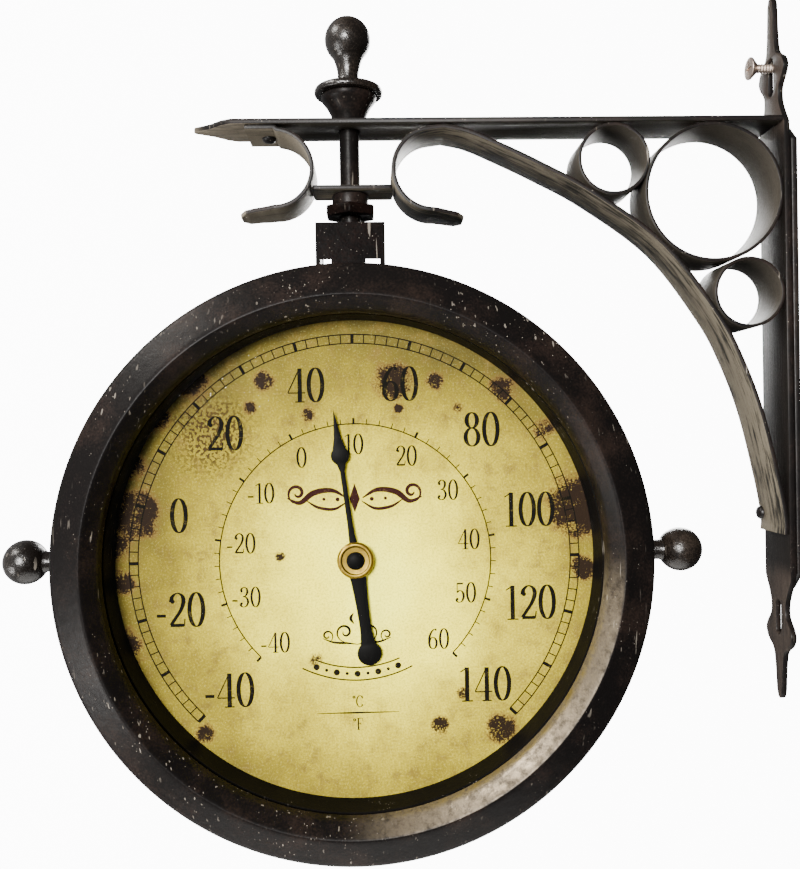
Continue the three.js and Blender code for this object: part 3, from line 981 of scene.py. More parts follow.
FRONT_STAINS = (
    Stain(-69, 78, 5.0, 0.95), Stain(-39, 79, 3.2, 1.25), Stain(18, 78, 6.5, 0.95),
    Stain(36, 78, 3.0, 1.1), Stain(-96, 21, 8.5, 1.05), Stain(100, 22, 10.5, 1.25),
    Stain(100, -6, 4.2, 1.1), Stain(-102, -8, 4.2, 1.1), Stain(-104, -38, 7.5, 1.25),
    Stain(63, -76, 4.8, 1.1), Stain(36, -74, 3.0, 1.15), Stain(-45, 67, 2.2, 1.0),
    Stain(-20, 64, 2.6, 0.75), Stain(66, 74, 4.6, 0.9), Stain(-67, -75, 3.4, 0.8),
    Stain(20, 66, 1.8, 0.9), Stain(46, 66, 1.7, 0.9), Stain(-96, 42, 4.6, 0.8),
    Stain(-84, 62, 4.0, 0.7), Stain(46, -60, 2.0, 0.8), Stain(-33, 2, 1.8, 0.8),
    Stain(-104, 8, 5.0, 0.8), Stain(84, 56, 4.0, 0.7), Stain(-18, -44, 2.4, 0.6),
)
REAR_STAINS = (
    Stain(-60, 80, 4, 0.8), Stain(40, 76, 2.2, 0.8), Stain(95, -30, 6.5, 0.9),
    Stain(-97, 12, 5, 0.8), Stain(-30, -70, 3, 0.6), Stain(70, 60, 1.8, 0.7),
    Stain(10, -96, 5, 0.7), Stain(-85, -45, 2.4, 0.8),
)


@dataclass(frozen=True)
class AgedDial:
    """Printed cream dial, darker and browner towards its edge and spotted with rust.

    Attributes:
        side: The face that it is on.
        stains: Its rust stains.
        speckled: Middle and radius of a patch of fine specks.
        pale: Middle of the pale part, right of the dial's centre and above it.
        fading: Distance from there at which the darkening is full.
        ageing: Colours from the pale part outwards.
        browned: Colour of the cloudy patches near the rim.
        fibre: Colour of the fine grain.
        bleached: Colour of the finest light spots.
        speck: Colour of the specks.
        halo: Colour round a stain.
        core: Colour of a stain's middle.
    """

    side: Side
    stains: tuple[Stain, ...]
    speckled: tuple[float, float, float] = (-62, 56, 20)
    pale: Point = (6, -14)
    fading: float = 118
    ageing: tuple[tuple[float, Colour], ...] = (
        (0.0, (1.0, 0.97, 0.10)), (0.26, (0.82, 0.72, 0.045)), (0.52, (0.43, 0.35, 0.018)),
        (0.74, (0.225, 0.176, 0.011)), (0.88, (0.11, 0.086, 0.009)), (1.0, (0.052, 0.04, 0.008)))
    browned: Colour = (0.120, 0.078, 0.016)
    fibre: Colour = (0.10, 0.075, 0.010)
    bleached: Colour = (1.0, 0.95, 0.30)
    speck: Colour = (0.024, 0.012, 0.005)
    halo: Colour = (0.125, 0.068, 0.018)
    core: Colour = (0.0070, 0.0036, 0.0022)

    def build(self, name: str) -> bpy.types.Material:
        """Makes the material.

        Args:
            name: The material's name.

        Returns:
            The material.
        """
        g = Graph(name)
        turn = 1 if self.side is Side.FRONT else -1
        scale = (turn / MM, 0, 1 / MM)
        flat = g.stretched(g.place(), scale, (-turn * PIN_X, 0, 0))
        warp = g.noise(flat, 0.03, 4)
        fine = g.noise(flat, 1.1, 3, 0.75)
        mottle = g.noise(flat, 0.14, 5, 0.68)
        # Darker and browner away from the pale middle, towards the rim.
        from_pale = self.distance(g, flat, *self.pale)
        spread = (from_pale / self.fading + (warp - 0.5) * 0.55).at_least(0)
        colour = g.ramp(spread, self.ageing)
        brown = mottle.fade(0.46, 0.72) * spread.fade(0.2, 0.75)
        colour = g.mix(brown * 0.8, colour, self.browned)
        colour = g.mix(fine.fade(0.42, 0.74) * (spread * 0.4 + 0.36), colour, self.fibre)
        colour = g.mix((1 - fine).fade(0.5, 0.78) * 0.15, colour, self.bleached)
        pepper = g.noise(flat, 0.7, 2, 0.4).fade(0.49, 0.54)
        x, z, radius = self.speckled
        patch = 1 - (self.distance(g, flat, x, z) + (mottle - 0.5) * radius).fade(
            radius * 0.3, radius * 1.3)
        colour = g.mix(patch * pepper * 0.92, colour, self.speck)
        rust = self.rust(g, flat, fine, mottle)
        colour = g.mix(rust.fade(0.08, 0.6) * 0.85, colour, self.halo)
        colour = g.mix(rust.fade(0.36, 0.64) * 0.97, colour, self.core)
        return g.surface(Base_Color=colour, Roughness=0.62 + fine * 0.2,
                         Specular_IOR_Level=0.06, Normal=g.bump(fine + rust * 0.5, 0.15, 0.0002))

    @staticmethod
    def distance(g: Graph, flat: bpy.types.NodeSocket, x: float, z: float) -> Number:
        """Distance of the surface from a point of the dial, in millimetres."""
        node = g.node("ShaderNodeVectorMath", {"operation": "DISTANCE"}, {0: flat, 1: (x, 0, z)})
        return Number(g, node.outputs["Value"])

    def rust(self, g: Graph, flat: bpy.types.NodeSocket, fine: Number, mottle: Number) -> Number:
        """Depth of rust over the dial, from 0 to about 1.

        Args:
            g: The graph to build in.
            flat: The point on the dial.
            fine: Fine noise.
            mottle: Coarser noise.

        Returns:
            The depth.
        """
        ragged = (fine - 0.5) * 3.0 + (mottle - 0.5) * 3.4 + 0.92
        total: Number | None = None
        for stain in self.stains:
            gap = self.distance(g, flat, stain.x, stain.z) / stain.size
            blot = (1 - gap.fade(0.25, 2.1)) * ragged * stain.depth
            total = blot if total is None else total.at_least(blot)
        return total


class Finishes:
    """Every finish of the object, made once."""

    def __init__(self) -> None:
        """Builds the materials."""
        self.bar = AgedPaint(chips=0.55).build("bar_paint")
        self.strip = WornStrip(chips=0.5).build("strip_paint")
        self.hook = WornStrip(chips=0.5, streak=(0.20, 0.172, 0.128), smooth=0.5
                              ).build("hook_paint")
        self.ring = WornStrip(chips=0.5, streak=(0.042, 0.036, 0.028), smooth=0.7,
                              grain=(1.0, 5.0, 1.0)).build("ring_paint")
        # Painted light: the bright streaks show only on the bar's left tip, and the rest stays dark
        # as painted shade.
        self.level_bar = WornStrip(chips=0.5, streak=(0.24, 0.205, 0.155), follows=False,
                                   grain=(1.0, 16.0, 16.0), smooth=0.4, ends=(0.232, 0.246)
                                   ).build("level_bar_paint")
        self.cross_strap = WornStrip(chips=0.5, follows=False, grain=(1.0, 20.0, 20.0)
                                     ).build("cross_strap_paint")
        # Painted shade: darker streaks and olive than on the other bars, and streaks only on the
        # spear ends, so the strap between the bars stays dark.
        self.upright = WornStrip(chips=0.5, follows=False, streak=(0.042, 0.032, 0.026),
                                 olive=(0.0040, 0.0034, 0.0030), grain=(24.0, 24.0, 1.4),
                                 smooth=0.35, axis=2, middle=0.0885, ends=(0.094, 0.104)
                                 ).build("upright_paint")
        self.well = AgedPaint(dark=(0.0022, 0.0020, 0.0019), brown=(0.0040, 0.0033, 0.0028),
                              chips=0.3, gloss=0.42, shine=0.02).build("well_paint")
        self.case = AgedPaint(chips=0.75, gloss=0.36, shine=0.06).build("case_paint")
        # Bezel paint with a painted highlight on the lower right of its inner cone.
        self.bezel = BezelPaint(chips=0.75, gloss=0.36, shine=0.06).build("bezel_paint")
        self.bronze = AgedPaint(dark=(0.0040, 0.0031, 0.0026), brown=(0.023, 0.0165, 0.0120),
                                chips=0.5, gloss=0.26, lumps=0.0006, shine=0.36
                                ).build("bronze_paint")
        self.hanger = AgedPaint(dark=(0.0014, 0.0011, 0.0010), brown=(0.0068, 0.0036, 0.0029),
                                chips=1.1, gloss=0.32, lumps=0.0002, shine=0.01
                                ).build("hanger_paint")
        self.steel = PlainMetal(srgb(176, 160, 148), 0.3, srgb(96, 82, 72)).build("steel")
        self.brass = PlainMetal((0.24, 0.16, 0.022), 0.3, (0.06, 0.036, 0.009)).build("brass")
        self.front_dial = AgedDial(Side.FRONT, FRONT_STAINS).build("thermometer_enamel")
        self.rear_dial = AgedDial(Side.REAR, REAR_STAINS, (52, -58, 15)).build("clock_enamel")
        self.ink = Ink((0.0035, 0.0032, 0.0022), (0.11, 0.085, 0.02)).build("dial_ink")
        self.red_ink = Ink((0.018, 0.0055, 0.0045), (0.12, 0.07, 0.025)).build("ornament_ink")
        self.hand = Moulded((0.0016, 0.0015, 0.0014), 0.42).build("hand_paint")
        self.plastic = Moulded((0.011, 0.011, 0.012), 0.5).build("works_plastic")
        self.glass = ClearGlass().build("clear_glass")


def stand_in(obj: bpy.types.Object, body: Body, slot: str, material: bpy.types.Material,
             *nodes: str) -> bpy.types.Object:
    """Makes a fine piece ride on its body in the place of CAD nodes.

    Args:
        obj: The piece.
        body: The body that it moves with.
        slot: The record's material slot; not used.
        material: Its finish.
        nodes: The CAD nodes that it stands for, if any.

    Returns:
        The piece.
    """
    obj.data.materials.append(material)
    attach(obj, body.value)
    if nodes:
        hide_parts(*nodes)
    LOG.info("%s on %s: %d faces", obj.name, body.value, len(obj.data.polygons))
    return obj


def dress(material: bpy.types.Material, *nodes: str) -> None:
    """Gives CAD nodes their finish.

    Args:
        material: The finish.
        nodes: Names of the nodes.
    """
    for node in nodes:
        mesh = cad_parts[node].data
        mesh.materials.clear()
        mesh.materials.append(material)
        LOG.info("%s keeps its CAD shape", node)


def carved(obj: bpy.types.Object, cutter: bpy.types.Object) -> bpy.types.Object:
    """Cuts one mesh out of another, and removes the cutter.

    Args:
        obj: The piece to cut.
        cutter: The closed mesh to take away.

    Returns:
        The cut piece.
    """
    cut = obj.modifiers.new("cut", "BOOLEAN")
    cut.operation, cut.object, cut.solver, cut.use_self = "DIFFERENCE", cutter, "EXACT", True
    graph = bpy.context.evaluated_depsgraph_get()
    mesh = bpy.data.meshes.new_from_object(obj.evaluated_get(graph))
    obj.modifiers.clear()
    obj.data = mesh
    bpy.data.objects.remove(cutter)
    mesh.set_sharp_from_angle(angle=math.radians(CRISP))
    return obj


# ---- bracket ------------------------------------------------------------------------------


@dataclass
class WallPlate:
    """The pieces against the wall: a plain backing bar, a spear-ended strap and its screw."""

    reach: float = 193.0
    strap_thick: float = 2.7
    strap_wide: float = 26.0
    shoulders: Point = (-14.0, 191.0)
    spears: Point = (55.5, 60.5)
    slot_half: float = 2.6
    slots: tuple[Point, Point] = ((-40.0, -24.0), (206.0, 223.6))
    bar_wide: float = 27.0
    bar_ends: Point = (-18.0, 191.0)
    bar_clip: float = 8.0
    bar_spans: Point = (196.0, 198.7)
    screw_z: float = 219.0
    screw_tip: float = 198.4

    def spear(self, length: float) -> list[Point]:
        """Half outline of a spear end, as half widths and distances from the shoulder.

        Args:
            length: Distance from the shoulder to the tip.

        Returns:
            The half outline, from the shoulder to the tip.
        """
        curve = flowing([(self.strap_wide / 2, 0), (9, 7), (7.2, 12), (7.6, 17), (11.6, 22),
                         (12.9, 25.5), (10.8, 29.5), (5.6, 33.5), (3.8, 40), (2.6, length - 4)], 6)
        return [*curve, (1.4, length - 0.8), (0, length)]

    def slot_outline(self, low: float, high: float) -> list[Point]:
        """Round-ended slot between two heights.

        Args:
            low: Its lower end.
            high: Its upper end.

        Returns:
            The outline.
        """
        half = self.slot_half
        return [*arc((0, low + half), half, 180, 360, 10), *arc((0, high - half), half, 0, 180, 10)]

    def strap(self) -> bpy.types.Object:
        """The strap with its spear ends and screw slots.

        Returns:
            The strap as an object.
        """
        low, high = self.shoulders
        bottom = [(w, low - s) for w, s in reversed(self.spear(self.spears[0]))]
        top = [(w, high + s) for w, s in self.spear(self.spears[1])]
        return plate("spear_strap", both_sides([*bottom, *top]),
                     [self.slot_outline(*ends) for ends in self.slots],
                     self.reach, self.reach + self.strap_thick, 0.45, AT_PIN @ FACING_OUT)

    def bar(self) -> bpy.types.Object:
        """The clipped backing bar that lies on the wall.

        Returns:
            The bar as an object.
        """
        half, clip = self.bar_wide / 2, self.bar_clip
        low, high = self.bar_ends
        outline = both_sides([(0, low), (half - clip, low), (half, low + clip),
                              (half, high - clip), (half - clip, high), (0, high)])
        return plate("backing_bar", outline, [], *self.bar_spans, 0.4, AT_PIN @ FACING_OUT)

    def screw(self) -> bpy.types.Object:
        """The cross-head screw in the upper slot, drawn from its head to its tip.

        Returns:
            The screw as an object.
        """
        head, seat, length, shank = 5.0, 3.6, 15.4, 2.1
        profile = softened([(0, 0), (head, 0), (head, 0.8), (shank, seat)], 0.3)
        pitch, crest = 1.3, 0.45
        turns = int((length - seat - 3.4) / pitch)
        for turn in range(turns):
            height = seat + 0.3 + turn * pitch
            profile += [(shank - crest, height), (shank, height + pitch / 2)]
        profile += [(shank - crest, length - 3), (0.5, length - 0.2), (0, length)]
        lie = Matrix.Translation((PIN_X + self.screw_tip - length, 0, self.screw_z)) @ ALONG_X
        screw = turned_piece("wall_fixing_screw", lie, profile, 32, 25)
        cross = Shape(lie @ ALONG_MINUS_Y)
        for line in ([(-3, 0), (3, 0)], [(0, -3), (0, 3)]):
            cross.band(line, 0.5, (-1.7, 1))
        return carved(screw, cross.piece("cross_recess"))

    def build(self, looks: Finishes) -> None:
        """Builds the wall pieces and dresses them.

        Args:
            looks: The finishes.
        """
        stand_in(self.strap(), Body.BRACKET, "bracket_paint", looks.upright, "wall_strap")
        stand_in(self.bar(), Body.BRACKET, "bracket_paint", looks.bar, "wall_bar")
        stand_in(self.screw(), Body.BRACKET, "steel", looks.steel, "wall_screw")


@dataclass
class ScrollBracket:
    """The top bar with the hook, the arch, the strap across them and the three rings."""

    bar_spans: Point = (191.2, 193.6)
    bar_half: float = 12.75
    strip_half: float = 1.0
    strip_gap: float = 0.3
    hook_centre: Point = (-33.3, 171.9)
    hook_radius: float = 17.0
    curl_centre: Point = (37.4, 171.2)
    curl_radius: float = 17.9
    pin_hole: float = 4.8
    strap_spans: Point = (163.0, 165.0)
    rivet_x: float = -36.0
    rivet_hole: float = 2.2
    foot_rivet: tuple[float, float, float] = (189.8, 9.4, 15.0)
    rings: tuple[tuple[str, float, float, float], ...] = (
        ("ring_large", 29.5, 161.7, 159.9), ("ring_small_upper", 14.5, 117.1, 174.9),
        ("ring_small_lower", 14.3, 176.9, 115.2))
    ring_wall: float = 1.5
    edge: float = 0.55

    @property
    def under_bar(self) -> float:
        """Height of a strip's middle where it lies under the bar."""
        return self.bar_spans[0] - self.strip_gap - self.strip_half

    def widths(self, line: Sequence[Point], reach: Callable[[float, float], float]
               ) -> list[Point]:
        """Where a strip begins and ends along Y at each point of its line.

        Args:
            line: The strip's middle line.
            reach: Half width for a point's x and z.

        Returns:
            One span for each point.
        """
        return [(-reach(x, z), reach(x, z)) for x, z in line]

    def bar(self) -> bpy.types.Object:
        """The flat bar along the top, pointed at its free end.

        Returns:
            The bar as an object.
        """
        half = self.bar_half
        tip = [(-69.6, 0), (-69, -1.3), (-61.5, -5.6), (-56, -10.6), (-51.5, -half)]
        outline = [*tip, (192.7, -half), (192.7, half), *[(x, -y) for x, y in reversed(tip[1:])]]
        holes = [round_hole(self.pin_hole), round_hole(self.rivet_hole, 24, (self.rivet_x, 0))]
        return plate("pointed_bar", outline, holes, *self.bar_spans, 0.5, AT_PIN @ LYING_FLAT)

    def hook(self) -> bpy.types.Object:
        """The strip that curls down from the bar and ends in a tapered tail.

        Returns:
            The strip as an object.
        """
        bottom = self.hook_centre[1] - self.hook_radius
        tail = flowing([(self.hook_centre[0], bottom), (-37.5, 154.3), (-41, 154.0),
                        (-45, 153.4), (-48.7, 152.9)], 5)
        line = [(-45.4, self.under_bar), (-40, self.under_bar),
                *arc(self.hook_centre, self.hook_radius + 1.0, 90, 88, 1),
                *arc(self.hook_centre, self.hook_radius, 84, -89, 44), *tail]

        def reach(x: float, z: float) -> float:
            """Half width, which tapers along the tail and ends in a blunt point."""
            if z > self.hook_centre[1] or x > -33:
                return self.bar_half
            return self.bar_half - 3.1 * max(0, (-33 - x) / 13) - 5.5 * max(0, (-46 - x) / 3)
        strip = Shape(AT_PIN)
        strip.band(line, self.strip_half, self.widths(line, reach), self.edge)
        return strip.piece("hook_strip")

    def arch(self) -> bpy.types.Object:
        """The strip that curls towards the hook and then arches down to the wall.

        Returns:
            The strip as an object.
        """
        foot = 191.7
        tail = flowing([(50.7, 151.0), (47, 151.6), (43, 152.3), (40, 152.9),
                        (self.curl_centre[0], self.curl_centre[1] - self.curl_radius)], 5)
        rise = flowing([(42, self.under_bar), (53, 187.4), (66, 181.8), (85, 172.6),
                        (108.1, 159.8), (139, 136.7), (162, 106.4), (172.7, 86), (181.6, 61.5),
                        (188.8, 31), (foot, 14), (foot, 7)], 8)
        line = [*tail, *arc(self.curl_centre, self.curl_radius, 267, 97, 44), *rise]

        def reach(x: float, z: float) -> float:
            """Half width, which tapers along the tail and ends in a blunt point."""
            if z > self.curl_centre[1] or not 36 < x < 52:
                return self.bar_half
            return self.bar_half - 2.1 * max(0, (x - 36) / 11.5) - 5 * max(0, (x - 47.5) / 3.2)
        strip = Shape(AT_PIN)
        strip.band(line, self.strip_half, self.widths(line, reach), self.edge)
        return strip.piece("arch_strip")

    def strap(self) -> bpy.types.Object:
        """The short strap across the two curls, bored for the pin.

        Returns:
            The strap as an object.
        """
        outline = softened([(-16.6, -10), (19.2, -10), (19.2, 10), (-16.6, 10)], 1.5, True)
        return plate("bored_strap", outline, [round_hole(self.pin_hole)], *self.strap_spans, 0.4,
                     AT_PIN @ LYING_FLAT)

    def ring(self, name: str, bore: float, x: float, z: float) -> bpy.types.Object:
        """One of the rings that fill the corner.

        Args:
            name: Its node's name.
            bore: Radius of its bore.
            x: Distance of its middle from the pin.
            z: Height of its middle.

        Returns:
            The ring as an object.
        """
        middle = bore + self.ring_wall / 2
        line = arc((x, z), middle, 20, 380 - 3.75, 95)
        strip = Shape(AT_PIN)
        strip.band(line, self.ring_wall / 2, (-self.bar_half, self.bar_half), 0.4, closed=True)
        return strip.piece(name + "_band")

    @staticmethod
    def rivet(name: str, length: float, place: Matrix) -> bpy.types.Object:
        """Domed rivet whose shank runs down from the head's seat.

        Args:
            name: The object's name.
            length: Length of its shank.
            place: Where the seat of its head lies in the row frame.

        Returns:
            The rivet as an object.
        """
        head = [(3.2, 0), (3.1, 0.5), (2.7, 1.2), (1.9, 1.7), (0.9, 1.95), (0, 2)]
        shank = 1.7
        body = [(0, -length), (shank, -length), (shank, 0)]
        return turned_piece(name, place, [*body, *head], 24, 50)

    def build(self, looks: Finishes) -> None:
        """Builds the bracket's pieces and dresses them.

        Args:
            looks: The finishes.
        """
        slot = "bracket_paint"
        stand_in(self.bar(), Body.BRACKET, slot, looks.level_bar, "top_bar")
        stand_in(self.hook(), Body.BRACKET, slot, looks.hook, "front_hook")
        stand_in(self.arch(), Body.BRACKET, slot, looks.strip, "arch_brace")
        stand_in(self.strap(), Body.BRACKET, slot, looks.cross_strap, "cross_strap")
        for name, bore, x, z in self.rings:
            stand_in(self.ring(name, bore, x, z), Body.BRACKET, slot, looks.ring, name)
        seat = self.under_bar - self.strip_half - self.strip_gap
        down = (Matrix.Translation((PIN_X + self.rivet_x, 0, seat))
                @ Matrix.Rotation(math.pi, 4, "X"))
        hook_rivet = self.rivet("hook_rivet_dome", self.bar_spans[1] - seat, down)
        stand_in(hook_rivet, Body.BRACKET, slot, looks.bar, "hook_rivet")
        x, y, z = self.foot_rivet
        out = Matrix.Translation((PIN_X + x, y, z)) @ ALONG_MINUS_X
        foot_rivet = self.rivet("foot_rivet_dome", 2.9, out)
        stand_in(foot_rivet, Body.BRACKET, slot, looks.bar, "arch_foot_rivet")


# ---- pin, finial and hanger ---------------------------------------------------------------


@dataclass
class Hanger:
    """The pin that the case hangs and turns on, with its finial and its boxed foot."""

    pin_r: float = 4.5
    bore: float = 4.8
    flange_z: float = 207.4
    finial_low: float = 217.6
    ball_z: float = 232.6
    ball_r: float = 10.3
    cone_low: float = 193.9
    collar_spans: Point = (157.6, 162.7)
    collar_r: float = 8.1
    nut_spans: Point = (152.6, 157.3)
    nut_r: float = 12.2
    box_bevel: float = 0.9

    def pin(self) -> bpy.types.Object:
        """The round pin.

        Returns:
            The pin as an object.
        """
        top, foot, stud, end = self.flange_z - GAP, 134, 2.5, 217
        return turned_piece("turning_pin", AT_PIN, [
            (0, foot), (4, foot), (self.pin_r, foot + 0.5), (self.pin_r, top), (stud, top),
            (stud, end), (0, end)], 32)

    def finial(self) -> bpy.types.Object:
        """Ball that runs down into a waisted neck over a flange.

        Returns:
            The finial as an object.
        """
        z = self.flange_z
        flange = softened([(2.8, z), (15.1, z), (15.5, z + 1.4), (14.9, z + 3.1), (8, z + 3.9),
                           (5.4, z + 4.6)], 0.7)
        neck = flowing([(5.1, z + 5.2), (4.75, z + 8), (4.9, z + 11), (5.6, z + 14), (6.6, z + 17)])
        ball = arc((0, self.ball_z), self.ball_r, -44, 90, 40)
        bored = [(0, self.finial_low), (2.8, self.finial_low), (2.8, z)]
        return turned_piece("ball_finial", AT_PIN, [
            *flange, *neck[:-1], *ball[:-1], (0, self.ball_z + self.ball_r), *bored], 64)

    def cone(self) -> bpy.types.Object:
        """The flared bearing cone that rests on the bar.

        Returns:
            The cone as an object.
        """
        low, high = self.cone_low, self.flange_z - GAP
        outside = flowing([(6.4, low), (6.9, 195.4), (8.1, 198.6), (10.1, 202.4),
                           (12, high - 2.2), (12.5, high - 0.5)], 5)
        return turned_piece("bearing_cone", AT_PIN, [
            (self.bore, low), *outside, (12.3, high), (self.bore, high), (self.bore, low)], 64)

    def collar(self) -> bpy.types.Object:
        """The plain collar under the strap.

        Returns:
            The collar as an object.
        """
        low, high = self.collar_spans
        outline = softened([(self.bore, low), (self.collar_r, low), (self.collar_r, high),
                            (self.bore, high)], 0.7, True)
        return turned_piece("turned_collar", AT_PIN, [*outline, outline[0]])

    def nut(self) -> bpy.types.Object:
        """The hexagon nut over the box.

        Returns:
            The nut as an object.
        """
        corners = arc((0, 0), self.nut_r, 30, 330, 5)
        return plate("hexagon_nut", softened(corners, 1.2, True), [round_hole(self.bore)],
                     *self.nut_spans, 0.7, AT_PIN @ LYING_FLAT)

    def build(self, looks: Finishes) -> None:
        """Builds the hanger and dresses it.

        Args:
            looks: The finishes.
        """
        slot = "case_paint"
        stand_in(self.pin(), Body.CASE, slot, looks.case, "hanger_pin")
        stand_in(self.finial(), Body.CASE, "bronze_paint", looks.bronze, "finial")
        stand_in(self.cone(), Body.CASE, slot, looks.case, "finial_cone")
        stand_in(self.collar(), Body.CASE, slot, looks.case, "pin_collar")
        stand_in(self.nut(), Body.CASE, slot, looks.hanger, "pin_nut")
        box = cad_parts["hanger_box"]
        bevel = box.modifiers.new("soft_edges", "BEVEL")
        bevel.width, bevel.segments = self.box_bevel * MM, 3
        bevel.angle_limit = math.radians(PLATE_CRISP)
        bevel.use_clamp_overlap = True
        dress(looks.hanger, "hanger_box")
        dress(looks.steel, "hanger_lock_nut", "hanger_block", "hanger_screw_left",
              "hanger_screw_right")


# ---- case ---------------------------------------------------------------------------------


@dataclass
class CaseShell:
    """The drum with a spun bezel, a reveal and a glass on each face."""

    facets: int = 192
    drum_r: float = 119.0
    drum_half: float = 24.0
    sheet: float = 1.5
    lip_r: float = 105.9
    crest: float = 37.4
    screw_angles: tuple[int, ...] = (30, 150, 270)
    screw_depth: float = 18.5
    knob_reach: float = 147.8
    knob_r: float = 9.9

    def drum(self) -> bpy.types.Object:
        """The cylinder between the two bezels.

        Returns:
            The drum as an object.
        """
        low, high = self.drum_r - self.sheet, self.drum_r
        half = self.drum_half
        ring = softened([(low, -half), (high, -half), (high, half), (low, half)], 0.4, True, 2)
        return turned_piece("case_drum", AT_PIN @ ALONG_Y, [*ring, ring[0]], self.facets)

    def bezel(self, side: Side) -> bpy.types.Object:
        """One spun bezel: lip, inner cone, crest, sloping band, rolled rim and skirt.

        Args:
            side: The face that it is on.

        Returns:
            The bezel as an object.
        """
        skirt = self.drum_r - self.sheet - GAP
        outer = softened([(skirt, 14), (skirt, 24.3), (120.6, 24.3), (127, 28.4), (127, 30.7),
                          (113.6, self.crest), (112.2, self.crest), (106.6, 31.6),
                          (self.lip_r, 27.9)], 2.4, False, 6)
        inner = [(107.7, 27.9), (112.2, 35.8), (125, 29.9), (119.8, 25.8), (skirt - 1.5, 25.8),
                 (skirt - 1.5, 14)]
        return turned_piece(side.value + "_spun_bezel", PLACE[side] @ ALONG_MINUS_Y,
                            [*outer, *inner, outer[0]], self.facets, 50)

    def reveal(self, side: Side) -> bpy.types.Object:
        """The wall between a dial and its glass.

        Args:
            side: The face that it is on.

        Returns:
            The reveal as an object.
        """
        profile = [(104.9, 12.5), (115.2, 12.5), (115.2, 14), (106.5, 14), (107.4, 25.3),
                   (105.9, 25.3), (104.9, 12.5)]
        return turned_piece(side.value + "_dial_reveal", PLACE[side] @ ALONG_MINUS_Y, profile,
                            self.facets)

    def screw(self, side: Side, index: int) -> bpy.types.Object:
        """One of the small slotted screws that hold a bezel to the drum.

        Args:
            side: The bezel that it holds.
            index: Which of the bezel's screws it is, from 0.

        Returns:
            The screw as an object.
        """
        seat = self.drum_r + GAP
        turn = Matrix.Rotation(-math.radians(self.screw_angles[index]), 4, "Y")
        depth = self.screw_depth if side is Side.REAR else -self.screw_depth
        place = AT_PIN @ Matrix.Translation((0, depth, 0)) @ turn @ ALONG_X
        tip = seat - 6.4
        screw = turned_piece(f"{side.value}_slotted_screw_{index + 1}", place, [
            (0, tip), (1.4, tip), (1.4, seat), (2.9, seat), (2.8, seat + 0.6), (2.3, seat + 1.3),
            (1.3, seat + 1.65), (0, seat + 1.7)], 24)
        slot = Shape(place @ Matrix.Translation((0, 0, seat)))
        slot.band([(-4, 1.35), (4, 1.35)], 0.55, (-0.35, 0.35))
        return carved(screw, slot.piece("screw_slot"))

    def knob(self, hand: str, turn: Matrix) -> bpy.types.Object:
        """Ball knob on a necked stud through the side of the drum.

        Args:
            hand: "left" or "right".
            turn: Turns the Z axis to the way that it points.

        Returns:
            The knob as an object.
        """
        foot, root = self.drum_r + GAP, 108
        neck = softened([(3, root), (3, foot), (6.4, foot), (6.4, foot + 1.8), (4.6, foot + 4),
                         (4.45, foot + 6), (4.5, foot + 18.6)], 0.8)
        ball = arc((0, self.knob_reach), self.knob_r, -60, 90, 40)
        return turned_piece(hand + "_ball_knob", AT_PIN @ turn, [
            (0, root), *neck, *ball[:-1], (0, self.knob_reach + self.knob_r)], 64)

    def build(self, looks: Finishes) -> None:
        """Builds the shell and dresses it.

        Args:
            looks: The finishes.
        """
        slot = "case_paint"
        stand_in(self.drum(), Body.CASE, slot, looks.case, "drum")
        for side in Side:
            name = side.value
            stand_in(self.bezel(side), Body.CASE, slot, looks.bezel, name + "_bezel")
            stand_in(self.reveal(side), Body.CASE, slot, looks.well, name + "_reveal")
            dress(looks.glass, name + "_glass")
            for index in range(len(self.screw_angles)):
                node = f"{name}_bezel_screw_{index + 1}"
                stand_in(self.screw(side, index), Body.CASE, "steel", looks.steel, node)
        for hand, turn in (("left", ALONG_MINUS_X), ("right", ALONG_X)):
            stand_in(self.knob(hand, turn), Body.CASE, "bronze_paint", looks.bronze, "knob_" + hand)
            dress(looks.steel, "knob_nut_" + hand)
        dress(looks.brass, "dial_pillar_1", "dial_pillar_2", "dial_pillar_3")


# ---- dial printing ------------------------------------------------------------------------


class Mark(Enum):
    """The pen strokes that a character is made of."""

    PEN = "a curve, thick where it runs up and down and thin where it runs across"
    LOOP = "the same, round an ellipse given by its centre and its two radii"
    STEM = "a straight thick line"
    HAIR = "a straight thin line"
    BALL = "a round spot, given by its centre and its radius twice"


PEN, LOOP, STEM, HAIR, BALL = Mark
Stroke = tuple[Mark, tuple[Point, ...]]
SERIF_I = ((HAIR, ((-0.02, 0.985), (0.26, 0.985))),
           (HAIR, ((-0.02, 0.015), (0.26, 0.015))))

